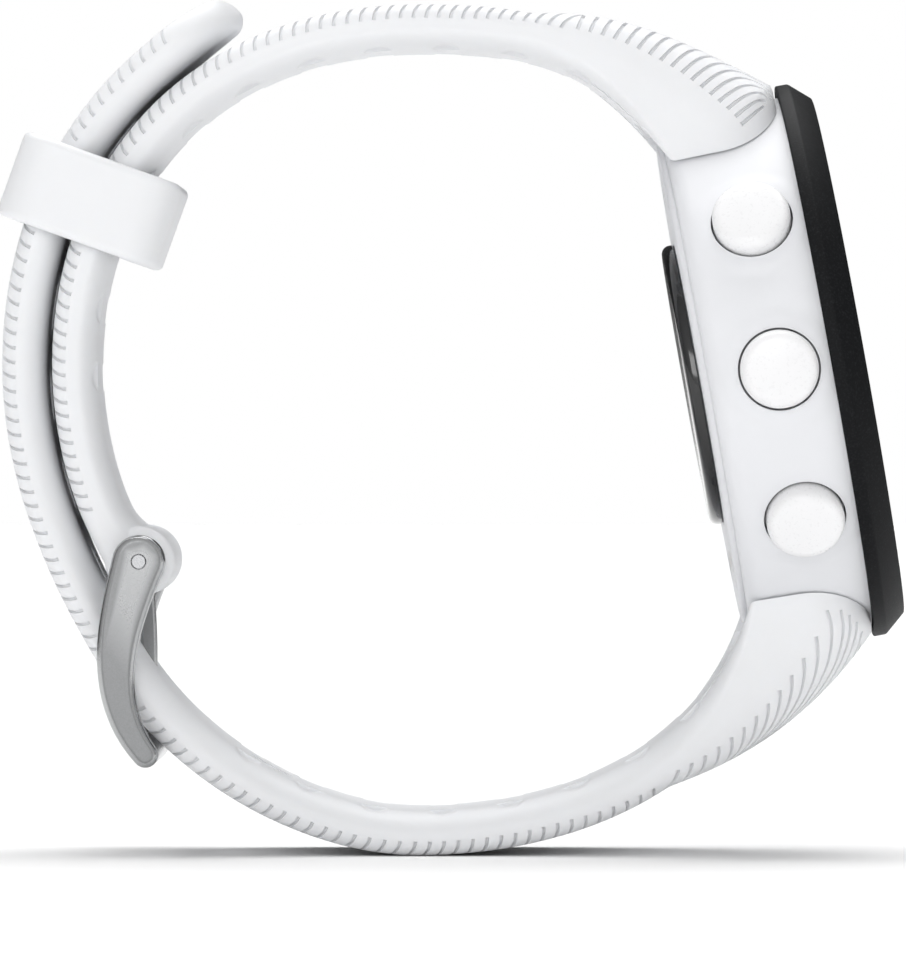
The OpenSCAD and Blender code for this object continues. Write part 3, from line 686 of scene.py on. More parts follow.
class StrapHalf:
    """One strap half: its section at a distance s from the seam along its inner face's line."""

    def __init__(self, line, seam, side, tip):
        self.points, self.ways, self.distance = line
        self.seam, self.side, self.tip = seam, side, tip
        self.total = self.distance[-1]

    def at(self, s):
        place = np.stack([np.interp(s, self.distance, self.points[:, k]) for k in (0, 1)], -1)
        way = np.stack([np.interp(s, self.distance, self.ways[:, k]) for k in (0, 1)], -1)
        return place, way / np.linalg.norm(way, axis=-1)[..., None]

    def rooted(self, s):
        """1 at the seam, falling to 0 where the root has thinned out."""
        return np.maximum(0, 1 - np.linalg.norm(self.at(s)[0] - self.seam, axis=-1) / ROOT_LEN) ** 1.15

    def shape(self, s):
        """Half-width, thickness and outer edge radius."""
        strap = settings("watch_strap")
        g = self.rooted(s)
        end = np.ones_like(s)
        if self.tip:
            left = np.maximum(0, self.total - s)
            end = np.sqrt(np.maximum(0, 1 - np.maximum(0, 1 - left / 6) ** 2.4))
        thick = mm(strap.thickness) + (mm(strap.root_t) - mm(strap.thickness)) * g
        thick = thick * (0.62 + 0.38 * end)
        width = (mm(strap.width) / 2 + mm(strap.root_flare) / 2 * g) * (0.3 + 0.7 * end)
        return width, thick, np.minimum(1.2 + 5.0 * g, 0.62 * thick)

    def world(self, s, u, v):
        place, way = self.at(s)
        flat = place + v[..., None] * self.side * right_of(way)
        return np.stack([flat[..., 0], u, flat[..., 1]], -1)

    def edge_end(self, s):
        """Arc length from the wall's foot to where the outer face begins."""
        _, thick, edge = self.shape(s)
        return thick - edge - WALL_FOOT + edge * math.pi / 2

    def groove(self, curve, widths, depth):
        """A cutter that follows points (distance, arc length) on the side at y > 0."""
        s, a = curve.T
        width, thick, edge = self.shape(s)
        wall = thick - edge - WALL_FOOT
        turn = np.clip((a - wall) / edge, 0, math.pi / 2)
        flat = np.maximum(0, a - wall - edge * math.pi / 2)
        u = width - edge * (1 - np.cos(turn)) - flat
        v = WALL_FOOT + np.minimum(a, wall) + edge * np.sin(turn)
        centre = self.world(s, u, v)
        out = self.side * right_of(self.at(s)[1])
        normal = np.stack([np.sin(turn) * out[:, 0], np.cos(turn), np.sin(turn) * out[:, 1]], -1)
        across_way = np.cross(np.gradient(centre, axis=0), normal)
        across_way /= np.linalg.norm(across_way, axis=1)[:, None]
        half = np.linspace(*widths, len(s))[:, None]
        ring = [(1, 0.5), (1, 0.07 - depth), (0.6, -depth), (-0.6, -depth), (-1, 0.07 - depth), (-1, 0.5)]
        return np.stack([centre + x * half * across_way + h * normal for x, h in ring], 1)

    def body(self, name, bulge=0.0):
        """The closed smooth solid. bulge fills the inner side towards the end, for the buckle's knuckle."""
        far = self.total - 6
        s = np.concatenate([np.arange(-SEAM_RUN, far, 0.45), np.linspace(far, self.total - 0.5, 26)])
        ends = np.array([0.3, 0.15, 0.06, 0.015, 0.002]) if self.tip else np.array([0.2, 0.02])
        s = np.concatenate([s, self.total - ends])[:, None]
        width, thick, edge = self.shape(s)
        corner = np.linspace(0, math.pi / 2, 15)[1:]
        bend = np.linspace(0, math.pi / 2, 41)
        # The inner face rolls gently into the wall, and ends sharp at the case
        soft = np.clip(1 - self.rooted(s) * 1.05, 0, 1)
        inner_u = np.minimum(0.3 + 3.2 * soft, 0.5 * width)
        inner_v = np.minimum(0.3 + (1.45 if self.tip else 1.1) * soft, thick - edge - 0.03)
        spread = np.array([0, 0.3, 0.6, 0.9, 1])
        u = [spread * (width - inner_u), width - inner_u + inner_u * np.sin(corner)]
        v = [0 * spread + 0 * width, inner_v * (1 - np.cos(corner))]
        u += [width - edge * (1 - np.cos(bend)), (width - edge) * np.array([0.85, 0.7, 0.4, 0])]
        v += [thick - edge + edge * np.sin(bend), thick + np.zeros(4)]
        u, v = (np.concatenate([part + np.zeros_like(width) for part in parts], 1) for parts in (u, v))
        if self.tip:
            # The last of the tail is rounded through its thickness
            left = np.maximum(0, self.total - s)
            keep = np.sqrt(np.maximum(0.0004, 1 - np.maximum(0, 1 - left / 1.1) ** 2))
            v = thick / 2 + (v - thick / 2) * keep
            u = u * (0.55 + 0.45 * keep)
        if bulge:
            near = soft_step(1 - (self.total - s) / 4.2) ** 1.3
            v = v - bulge * near * np.clip(1 - v / thick, 0, 1)
        s = s + np.zeros_like(u)
        right, left_half = self.world(s, u, v), self.world(s, -u, v)
        return tube(name, np.concatenate([right, left_half[:, -2:0:-1]], axis=1))


def cut_grooves(piece, rings):
    """Cuts every groove on both sides, their walls in a rougher silicone painted a little darker as shade.
    Neighbours go in separate cuts, so that cutters never cross."""
    piece.data.materials.clear()
    piece.data.materials.append(materials()["strap"])
    for first in range(3):
        work = bmesh.new()
        for ring in rings[first::3]:
            for mirror in (1, -1):
                part = tube("groove", ring * [1, mirror, 1])
                work.from_mesh(part.data)
                bpy.data.meshes.remove(part.data)
        mesh = bpy.data.meshes.new("grooves")
        work.to_mesh(mesh)
        work.free()
        # The grooves' walls take the silicone painted darker, as painted shade
        mesh.materials.append(materials()["groove"])
        combine(piece, [new_object("grooves", mesh)])


def chevrons(half, first, pitch_near, pitch_far, last):
    """Short slanted grooves along the thin part of the strap, over its outer edge."""
    strap = settings("watch_strap")
    rings, s = [], first
    width = mm(strap.groove_w) / 2
    while s < last:
        low = 1.38 + 0.5 * max(0, 1 - (s - first) / 6)
        a = np.linspace(low, float(half.edge_end(np.array([s]))[0]) + 2.0, 22)
        shift = -half.side * np.clip((a - low) / 2.4, 0, 1.6) ** 1.5
        rings.append(half.groove(np.stack([s + shift, a], 1), (width, width), mm(strap.groove_d)))
        s += pitch_near + (pitch_far - pitch_near) * min(1, (s - first) / 12)
    return rings


def upper_fan(half):
    """At 12 o'clock each groove climbs the side and then runs along the top to just short of the seam."""
    strap = settings("watch_strap")
    rings = []
    for k in range(17):
        s = -0.84 + mm(strap.fan_pitch) * k
        low = float(np.interp(s, [0, 4, 12], [4.8, 4.0, 1.75]))
        crest = 7.6 + 0.46 * k
        run = s + 0.75 - 0.02 * k
        climb = [s + 0.12, low + 0.7 * (crest - low)]
        curve = np.array([[s, low], climb, [s - 0.35 * run, crest], [s - run, crest]])
        rings.append(half.groove(along(curve, np.linspace(0, 1, 40)), (0.14, 0.08), mm(strap.groove_d)))
    return rings


def lower_fan(half):
    """At 6 o'clock each groove starts blunt on the side and curves away from the case."""
    strap = settings("watch_strap")
    starts = [(-0.95 + 0.07 * j * j, 4.85 + 0.9 * j) for j in range(5, 0, -1)]
    s, k = -0.61, 0
    while s < FAN_END + 2:
        starts.append((s, float(np.interp(s, [0, 13.4], [4.65, 1.45]))))
        s += 0.92 + 0.78 * 0.55**k
        k += 1
    rings = []
    for s, low in starts:
        # It starts square across the side, bends over and runs out along the outer face's edge
        way = np.linspace(0, 1, 36)
        distance = s + max(1.3, 7.6 - 0.72 * s) * way
        _, thick, edge = half.shape(distance)
        _, first_thick, first_edge = half.shape(np.array([s]))
        wall = float(first_thick[0] - first_edge[0])
        bend = min(math.pi / 2, max(0, (low + WALL_FOOT - wall) / float(first_edge[0])))
        foot = min(low + WALL_FOOT, wall) + float(first_edge[0]) * math.sin(bend)
        height = foot + (0.985 * thick - foot) * (1 - (1 - way) ** 1.6)
        turn = np.arcsin(np.clip((height - (thick - edge)) / edge, 0, 1))
        curve = np.stack([distance, np.minimum(height, thick - edge) - WALL_FOOT + edge * turn], 1)
        rings.append(half.groove(curve, (0.15, 0.06), mm(strap.groove_d)))
    return rings


def wrist_recesses(half, first, last):
    """Shallow scoops on both sides of the face that lies on the wrist."""
    cutters = []
    for s in np.arange(first, last, SCOOP_PITCH):
        place, way = half.at(np.array([s]))
        centre = (place - SCOOP_SET * half.side * right_of(way))[0]
        for side in (-1, 1):
            middle = side * 0.36 * mm(settings("watch_strap").width)
            cutters.append(across("scoop", centre, SCOOP_R, 2.2, 64, 0.3, middle))
    return cutters


def rod(name, y, z, radius, x0, x1, steps=40):
    """A bar along the case's x axis."""
    return lathe(name, [[0, x0], [radius, x0], [radius, x1], [0, x1]], steps,
                 lambda p: in_case(np.stack([p[:, 2], y + p[:, 0], z + p[:, 1]], -1)))


def block(name, low, high, place=in_case):
    low, high = np.array(low, float), np.array(high, float)
    low, high = np.minimum(low, high), np.maximum(low, high)
    outline = [[low[0], low[1]], [high[0], low[1]], [high[0], high[1]], [low[0], high[1]]]
    return extrude(name, outline, low[2], high[2], place)


def disc(name, radius, low, high, steps=192, place=in_case):
    return lathe(name, [[0, low], [radius, low], [radius, high], [0, high]], steps, place)


EAR_T, EAR_IN, EAR_R, EAR_GAP, LUG_Z, BAR_R = 2.0, 6.6, 1.55, 0.12, 0.6, 0.75


def root_cutters(end, case_r, bezel_r, case_h):
    """What the case, the bezel, the lugs and the spring bar take out of a strap's root."""
    lug_y = end * (case_r + EAR_R)
    cutters = [
        disc("cut_case", case_r + 0.1, -6, case_h + 1, 256),
        disc("cut_bezel", bezel_r + 1, case_h - 0.1, case_h + 4, 192),
    ]
    wide, r = EAR_T / 2 + EAR_GAP, EAR_R + 0.15
    for x in (-1, 1):
        middle = x * (EAR_IN + EAR_T / 2)
        cutters.append(rod("cut_ear", lug_y, LUG_Z, r, middle - wide, middle + wide))
        far = lug_y + end * r
        near = lug_y - end * 5
        cutters.append(block("cut_ear", [middle - wide, near, LUG_Z - 8], [middle + wide, far, LUG_Z]))
        cutters.append(block("cut_ear", [middle - wide, near, LUG_Z - r], [middle + wide, lug_y, LUG_Z + r]))
    cutters.append(rod("cut_bar", lug_y, LUG_Z, BAR_R + 0.03, -EAR_IN - 1, EAR_IN + 1))
    return cutters


def across(name, centre, radius, half_width, steps=64, edge=0.0, middle=0.0):
    """A bar along Y at a point of the X-Z plane, with its ends rounded by edge."""
    w, r = half_width, radius
    profile = [[0, -w], [r, -w], [r, w], [0, w]]
    if edge:
        profile = [[0, -w]] + arc([r - edge, edge - w], edge, -90, 0, 8)
        profile += arc([r - edge, w - edge], edge, 0, 90, 8) + [[0, w]]
    return lathe(name, profile, steps,
                 lambda p: np.stack([centre[0] + p[:, 0], middle + p[:, 2], centre[1] + p[:, 1]], -1))


def in_plane(origin):
    """Carries an outline of the X-Z plane, extruded along Y, to its place."""
    return lambda p: np.stack([origin[0] + p[:, 0], p[:, 2], origin[1] + p[:, 1]], -1)


def band(curve, w0, w1, t0, t1, steps):
    t = np.linspace(t0, t1, steps + 1)
    middle, side = along(curve, t), right_of(way_along(curve, t))
    half = (w0 + (w1 - w0) * t)[:, None]
    return np.vstack([middle + half * side, (middle - half * side)[::-1]])


def case_numbers():
    case = settings("watch_case")
    bezel_r = mm(case.bezel_d) / 2
    return bezel_r - mm(case.overhang), bezel_r, mm(case.height)


def buckle_curves(loop):
    """The arms' and the tongue's lines from the pin. The bar stands off the tail that passes under it."""
    buckle = settings("watch_buckle")
    curve, t = loop.lower[2], 0.787
    way = way_along(curve, t)[0]
    bar = along(curve, t)[0] - (loop.thickness + mm(buckle.bar_gap) + ARM_LOW / 2) * right_of(way) - loop.pin
    arm = np.array([[0, 0], [-1.3, -3.9], [-3, -9.3], bar])
    tongue = np.array([[0, 0], [0.35, -3.9], [0.75, -8.3], bar + 1.23 * way + 0.33 * right_of(way)])
    return arm, tongue


ARM_TOP, ARM_LOW = 3.7, 1.8
KEEPER_T = 0.685
KEEPER_TILT = 6.0
KEEPER_SHIFT = 0.4
TONGUE_ROOM = 0.22
NOTCH_GAP = 0.25
STEM_R = 0.9
CAP_DEPTH = 0.75
BOSS_RUN = 1.3
BACK_T = 1.2
KNUCKLE_WALL = 1.7


class WATCH_OT_upper_strap(bpy.types.Operator):
    """Builds the strap half at 12 o'clock, which carries the buckle."""

    bl_idname = "watch.upper_strap"
    bl_label = "Upper Strap"

    def execute(self, context):
        loop, buckle = Loop(), settings("watch_buckle")
        pin_r = mm(buckle.pin_d) / 2
        half = StrapHalf(loop.upper_line(), loop.top_seam, 1, False)
        piece = half.body("strap_buckle_half", 1.3)
        knuckle = across("knuckle", loop.pin, pin_r + KNUCKLE_WALL, loop.width / 2 - 0.05, 96, 0.9)
        combine(piece, [knuckle], "UNION")
        cutters = root_cutters(1, *case_numbers())
        cutters.append(across("cut_pin", loop.pin, pin_r + 0.03, loop.width))
        slot_w, eye = mm(buckle.tongue_w) / 2 + NOTCH_GAP, pin_r + 1.0
        cutters.append(across("cut_eye", loop.pin, eye, slot_w))
        x, z = loop.pin
        cutters.append(block("cut_slot", [x - 3.2, -slot_w, z - 4], [x + eye, slot_w, z], lambda p: p))
        cutters += wrist_recesses(half, 9, half.total - 9)
        combine(piece, cutters)
        cut_grooves(piece, upper_fan(half) + chevrons(half, FAN_END + 0.3, 0.75, 0.88, half.total - 4.6))
        finish_piece(piece, "watch", "strap_silicone", materials()["strap"], "strap_upper", sharp=50)
        return {"FINISHED"}


def hole_cutter(loop, line, s):
    """A stadium hole through the tail at a distance along it."""
    strap = settings("watch_strap")
    points, ways, distance = line
    place = np.array([np.interp(s, distance, points[:, k]) for k in (0, 1)])
    way = np.array([np.interp(s, distance, ways[:, k]) for k in (0, 1)])
    way /= np.linalg.norm(way)
    out = -right_of(way)
    r, half = mm(strap.hole_w) / 2, (mm(strap.hole_l) - mm(strap.hole_w)) / 2
    outline = arc([half, 0], r, -90, 90, 12) + arc([-half, 0], r, 90, 270, 12)

    def carry(p):
        flat = place + p[:, :1] * way + (p[:, 2:] + 1) * out
        return np.stack([flat[:, 0], p[:, 1], flat[:, 1]], -1)

    return extrude("cut_hole", outline, -loop.thickness - 2, loop.thickness + 2, carry)


class WATCH_OT_lower_strap(bpy.types.Operator):
    """Builds the strap half at 6 o'clock, whose tail runs through the buckle and the keeper."""

    bl_idname = "watch.lower_strap"
    bl_label = "Lower Strap"

    def execute(self, context):
        loop, buckle = Loop(), settings("watch_buckle")
        line = loop.lower_line()
        half = StrapHalf(line, loop.low_seam, -1, True)
        piece = half.body("strap_tail_half")
        cutters = root_cutters(-1, *case_numbers())
        # The hole in use lies where the tongue passes; the others follow at the hole pitch
        legs = [length_of(curve) for curve in loop.lower]
        buckled = legs[1] + legs[2]
        cutters.append(hole_cutter(loop, line, buckled - 8 / 14 * legs[2] * 0.93))
        for k in range(1, 7):
            cutters.append(hole_cutter(loop, line, buckled + k * mm(settings("watch_strap").hole_pitch)))
        _, tongue = buckle_curves(loop)
        room = mm(buckle.tongue_t) / 2 + TONGUE_ROOM
        t = np.linspace(0.3, 1, 12)
        middle, side = along(tongue, t), right_of(way_along(tongue, t))
        swing = math.radians(8)
        turn = np.array([[math.cos(swing), math.sin(swing)], [-math.sin(swing), math.cos(swing)]])
        sides = [middle + room * side, middle - room * side]
        inner = max(sides, key=lambda q: q[:, 0].mean())
        outer = min(sides, key=lambda q: q[:, 0].mean()) @ turn
        outline = np.vstack([inner, outer[::-1]])
        w = mm(buckle.tongue_w) / 2 + NOTCH_GAP
        cutters.append(extrude("cut_tongue", outline, -w, w, in_plane(loop.pin)))
        cutters += wrist_recesses(half, 9, buckled - 8)
        combine(piece, cutters)
        cut_grooves(piece, lower_fan(half) + chevrons(half, FAN_END + 3.1, 0.92, 0.95, half.total - 4.6))
        finish_piece(piece, "watch", "strap_silicone", materials()["strap"], "strap_lower", sharp=50)
        return {"FINISHED"}


class WATCH_OT_keeper(bpy.types.Operator):
    """Builds the soft keeper loop that holds the tail."""

    bl_idname = "watch.keeper"
    bl_label = "Keeper"

    def execute(self, context):
        loop, strap = Loop(), settings("watch_strap")
        wall, slack, length = mm(strap.keeper_wall), mm(strap.keeper_slack), mm(strap.keeper_l)
        inside = [loop.width + 0.7, slack + 2 * loop.thickness + mm(strap.lap_gap) + 0.3]
        place, way = along(loop.upper[2], KEEPER_T)[0], way_along(loop.upper[2], KEEPER_T)[0]
        # It sits a little askew in its slack
        way = heading(math.degrees(math.atan2(way[1], way[0])) + KEEPER_TILT)
        out = right_of(way)
        centre = place + (inside[1] / 2 - slack + KEEPER_SHIFT) * out

        def outline(grow, radius):
            w, h = inside[0] / 2 + grow, inside[1] / 2 + grow
            corners = [(w - radius, h - radius, 0), (radius - w, h - radius, 90),
                       (radius - w, radius - h, 180), (w - radius, radius - h, 270)]
            points = []
            for i, (x, y, turn) in enumerate(corners):
                points += arc([x, y], radius, turn, turn + 90, 14)
                nx, ny, nturn = corners[(i + 1) % 4]
                last = np.array(points[-1])
                first = np.array(arc([nx, ny], radius, nturn, nturn + 90, 1)[0])
                points += [list(last + (first - last) * k / 10) for k in range(1, 10)]
            return np.array(points)

        inner, outer = outline(0, 1.0), outline(wall, 2.6)
        half = length / 2
        # The wall's own section: rounded outer lips, softer inner lips and a faint crown
        lip = [(1 - 0.38 + 0.38 * math.sin(a), half - 0.55 + 0.55 * math.cos(a))
               for a in np.linspace(0, math.pi / 2, 7)]
        top = lip + [(t, -l) for t, l in lip[::-1]]
        low = [(0.2 - 0.2 * math.sin(a), half - 0.25 + 0.25 * math.cos(a))
               for a in np.linspace(0, math.pi / 2, 5)]
        ring = top + [(t, -l) for t, l in low] + [(t, l) for t, l in low[::-1]]
        rings = []
        for t, l in ring:
            flat = inner + (outer - inner) * t
            spot = centre + flat[:, 1:2] * out + l * way
            rings.append(np.stack([spot[:, 0], flat[:, 0], spot[:, 1]], -1))
        rings = np.array(rings)
        rows, cols = rings.shape[:2]
        faces = grid_faces(rows, cols, True).tolist()
        end = (rows - 1) * cols
        faces += [[end + j, end + (j + 1) % cols, (j + 1) % cols, j] for j in range(cols)]
        piece = mesh_from("keeper_band", rings.reshape(-1, 3), faces)
        finish_piece(piece, "keeper", "keeper_silicone", materials()["keeper"], "keeper", sharp=60)
        return {"FINISHED"}


# ---- Case ----


class WATCH_OT_case(bpy.types.Operator):
    """Builds the case with its soft swellings, button pockets, lugs and inner bosses."""

    bl_idname = "watch.case"
    bl_label = "Case"

    def execute(self, context):
        case = settings("watch_case")
        case_r, bezel_r, case_h = case_numbers()
        back_r, back_t, gap = case_r - 1.6, BACK_T, 0.12
        cavity_r, cap_r = case_r - mm(case.wall), mm(case.button_d) / 2
        profile = [[back_r + gap, 0.45]] + arc([case_r - 1.5, 1.7], 1.4, -60, 0, 8)
        profile += [[case_r - 0.1 + 0.1 * k / 36, 1.7 + (case_h - 1.7) * k / 36] for k in range(1, 37)]
        profile = np.array(profile)
        steps = 420
        turn = np.linspace(0, 2 * math.pi, steps, endpoint=False)
        r = profile[:, :1] + np.zeros((1, steps))
        z = profile[:, 1:] + np.zeros((1, steps))
        for centre in button_turns().values():
            away = (turn - centre + math.pi) % (2 * math.pi) - math.pi
            gap_now = np.hypot(away[None, :] * case_r, z - mm(case.button_z))
            share = (cap_r + mm(case.halo_width) - gap_now) / (mm(case.halo_width) - 0.55)
            r = np.maximum(r, profile[:, :1] + mm(case.halo_rise) * soft_step(share))
        ring = np.stack([r * np.cos(turn), r * np.sin(turn), z], -1)
        piece = tube("case_body", in_case(ring))
        lug_y = case_r + EAR_R
        # Each ear's web to the case, its wrist side sloped like the strap's root
        slope = math.radians(28)
        foot = EAR_R / math.cos(slope)
        web = [[0, -EAR_R], [(foot - EAR_R) / math.tan(slope), -EAR_R], [4, 4 * math.tan(slope) - foot],
               [4, EAR_R], [0, EAR_R]]
        ears = []
        for end in (-1, 1):
            for x in (-1, 1):
                low, high = x * (EAR_IN + EAR_T / 2) - EAR_T / 2, x * (EAR_IN + EAR_T / 2) + EAR_T / 2
                ears.append(rod("ear", end * lug_y, LUG_Z, EAR_R, low, high, 48))
                ears.append(extrude("ear", web, low, high, lambda p: in_case(
                    np.stack([p[:, 2], end * (lug_y - p[:, 0]), LUG_Z + p[:, 1]], -1))))
        combine(piece, ears, "UNION")
        stem_r, cap_root = STEM_R, case_r - CAP_DEPTH
        pocket_floor, boss_end = cap_root - 0.6, cavity_r - BOSS_RUN
        cavity = disc("cavity", cavity_r, back_t + 1.1, case_h + 3)
        turns = button_turns().values()
        bosses = [disc("boss", stem_r + 1.3, boss_end, boss_end + 4, 40, radial(t)) for t in turns]
        screws = [math.radians(t) for t in (62, 118, 242, 298)]
        screw_at = cavity_r - 1.8

        def beside(turn_now):
            shift = np.array([screw_at * math.cos(turn_now), screw_at * math.sin(turn_now), 0])
            return lambda p: in_case(p + shift)

        bosses += [disc("boss", 1.5, -1, 4.9, 32, beside(t)) for t in screws]
        flat_y = cavity_r - 1
        bosses.append(block("boss", [-10, flat_y, -1], [10, flat_y + 3, 5.6]))
        bosses.append(block("boss", [-10, -flat_y - 3, -1], [10, -flat_y, 5.6]))
        combine(cavity, bosses)
        cutters = [
            cavity, disc("cut", back_r + gap, -3, back_t + gap), disc("cut", back_r - 1.5, 0, back_t + 1.3)
        ]
        groove_in, groove_out = back_r - 1, back_r - 0.4
        seat = [[groove_in, 1.1], [groove_out, 1.1], [groove_out, 1.94], [groove_in, 1.94]]
        cutters.append(lathe("cut", seat, 128, in_case))
        cutters.append(disc("cut", bezel_r + 2, case_h, case_h + 4))
        for t in button_turns().values():
            cutters.append(disc("cut", cap_r + 0.15, pocket_floor, pocket_floor + 5, 96, radial(t)))
            cutters.append(disc("cut", stem_r + 0.05, boss_end - 1, boss_end + 4, 48, radial(t)))
            cutters.append(disc("cut", stem_r + 0.55, pocket_floor - 0.8, pocket_floor + 1.2, 48, radial(t)))
        cutters += [disc("cut", 0.55, -1, 4.2, 24, beside(t)) for t in screws]
        for end in (-1, 1):
            for x in (-1, 1):
                low, high = sorted((x * (EAR_IN - 1), x * (EAR_IN - 1) + x * 2.4))
                cutters.append(rod("cut", end * lug_y, LUG_Z, BAR_R - 0.31, low, high))
        combine(piece, cutters)
        finish_piece(piece, "watch", "case_plastic", materials()["case"], "case_shell", sharp=35)
        return {"FINISHED"}


class WATCH_OT_bezel_and_lens(bpy.types.Operator):
    """Builds the dark bezel with its crisp, slightly rounded edges, and the glass lens."""

    bl_idname = "watch.bezel_and_lens"
    bl_label = "Bezel and Lens"

    def execute(self, context):
        case = settings("watch_case")
        _, bezel_r, case_h = case_numbers()
        front, lens_r = case_h + mm(case.bezel_h), mm(case.lens_d) / 2
        seat_r, seat_z = lens_r - 0.5, front - 1.5
        profile = [[seat_r, case_h], [bezel_r, case_h], [bezel_r, case_h + 0.9], [bezel_r - 1.3, front],
                   [lens_r + 0.06, front], [lens_r + 0.06, seat_z], [seat_r, seat_z]]
        piece = lathe("bezel_ring", profile, 256, in_case)
        soften(piece, 0.09, 2, 20)
        finish_piece(piece, "watch", "bezel_plastic", materials()["bezel"], "bezel", sharp=70)
        top = front - 0.01
        profile = [[0, front - 1.25], [lens_r, front - 1.25], [lens_r, top - 0.22]]
        profile += arc([lens_r - 0.22, top - 0.22], 0.22, 15, 90, 5) + [[0, top]]
        lens = lathe("lens_glass_disc", profile, 192, in_case)
        finish_piece(lens, "watch", "lens_glass", materials()["glass"], "lens", sharp=50)
        return {"FINISHED"}


SEGMENTS = {
    "0": "abcdef", "1": "bc", "2": "abged", "3": "abgcd", "4": "fgbc",
    "5": "afgcd", "6": "afgedc", "7": "abc", "8": "abcdefg", "9": "abcdfg",
}


def segment_outlines(text, height, x0, y0):
    """Outlines of seven-segment digits with slanted segment ends."""
    width, thick, gap = height * 0.5, height * 0.12, height * 0.02
    outlines, x = [], x0
    for mark in text:
        if mark == ":":
            for y in (0.32, 0.68):
                dot = arc([0, 0], thick * 0.6, 0, 330, 11)
                outlines.append([[x + u, y0 + height * y + v] for u, v in dot])
            x += thick * 2.6
            continue
        h, w, t = height, width, thick
        ends = {
            "a": ((0, h), (w, h)), "g": ((0, h / 2), (w, h / 2)), "d": ((0, 0), (w, 0)),
            "f": ((0, h / 2), (0, h)), "b": ((w, h / 2), (w, h)),
            "e": ((0, 0), (0, h / 2)), "c": ((w, 0), (w, h / 2)),
        }
        for name in SEGMENTS[mark]:
            (ax, ay), (bx, by) = ends[name]
            across_x, across_y = (0, t / 2) if ay == by else (t / 2, 0)
            step_x, step_y = (t / 2, 0) if ay == by else (0, t / 2)
            gap_x, gap_y = gap * (ay == by), gap * (ax == bx)
            ax, ay, bx, by = ax + gap_x, ay + gap_y, bx - gap_x, by - gap_y
            corners = (
                (ax, ay), (ax + step_x - across_x, ay + step_y - across_y),
                (bx - step_x - across_x, by - step_y - across_y), (bx, by),
                (bx - step_x + across_x, by - step_y + across_y),
                (ax + step_x + across_x, ay + step_y + across_y),
            )
            outlines.append([[x + px, y0 + py] for px, py in corners])
        x += width + thick * 1.7
    return outlines


def printed(name, outlines, low, high):
    """Thin raised prints on a level face of the case, as one piece."""
    parts = [extrude(name, outline, low, high, in_case) for outline in outlines]
    work = bmesh.new()
    for part in parts:
        work.from_mesh(part.data)
    mesh = bpy.data.meshes.new(name)
    work.to_mesh(mesh)
    work.free()
    for part in parts:
        bpy.data.meshes.remove(part.data)
    return new_object(name, mesh)


class WATCH_OT_dial(bpy.types.Operator):
    """Builds the time in plain segments on the display and the minute marks round it."""

    bl_idname = "watch.dial"
    bl_label = "Dial"

    def execute(self, context):
        _, _, case_h = case_numbers()
        level = case_h + 0.3
        outlines = segment_outlines("10:09", 7.4, -10.1, -3.3)
        outlines += segment_outlines("24", 2.2, -1.8, 6.6)
        outlines += [[[-9.5, y], [9.5, y], [9.5, y + 0.12], [-9.5, y + 0.12]] for y in (-5.2, 5.6)]
        for k in range(10):
            x = -8.6 + 1.8 * k
            tall = 1.0 + 1.6 * abs(math.sin(k * 1.3))
            outlines.append([[x, -9.0], [x + 1.1, -9.0], [x + 1.1, -9.0 + tall], [x, -9.0 + tall]])
        piece = printed("time_segments", outlines, level, level + 0.03)
        finish_piece(piece, "watch", "black_ink", materials()["digits"])
        marks = []
        for k in range(60):
            turn = math.radians(6 * k)
            wide, low, high = (0.16, 13.7, 15.5) if k % 5 == 0 else (0.06, 14.5, 15.5)
            c, s = math.cos(turn), math.sin(turn)
            corners = ((low, -wide), (high, -wide), (high, wide), (low, wide))
            marks.append([[u * c - v * s, u * s + v * c] for u, v in corners])
        piece = printed("minute_marks", marks, level + 0.3, level + 0.33)
        finish_piece(piece, "watch", "diffuser", materials()["marks"])
        return {"FINISHED"}


class WATCH_OT_sensor_window(bpy.types.Operator):
    """Builds the raised sensor window on the back, with a grey line round its side."""

    bl_idname = "watch.sensor_window"
    bl_label = "Sensor Window"

    def execute(self, context):
        case = settings("watch_case")
        r, bump, back_t = mm(case.sensor_d) / 2, mm(case.sensor_bump), BACK_T
        profile = [[0, -0.15], [0, -bump]] + arc([r - 0.6, 0.6 - bump], 0.6, -90, 0, 8)
        profile += [[r, -0.12], [r - 0.07, -0.08], [r - 0.07, 0.06], [r, 0.1]]
        profile += [[r, back_t - 0.4], [r + 0.8, back_t - 0.4], [r + 0.8, back_t], [r - 0.9, back_t]]
        profile.append([r - 0.9, -0.15])
        piece = lathe("sensor_window_disc", profile, 192, in_case)
        finish_piece(piece, "watch", "sensor_plastic", materials()["sensor"], "sensor_window", sharp=45)
        piece.data.materials.append(materials()["grey"])
        origin, _, _, z = case_axes()
        for face in piece.data.polygons:
            level = float((np.array(face.center) * 1000 - origin) @ z)
            if -0.1 < level < 0.08 and abs(float(np.array(face.normal) @ z)) < 0.5:
                face.material_index = 1
        return {"FINISHED"}


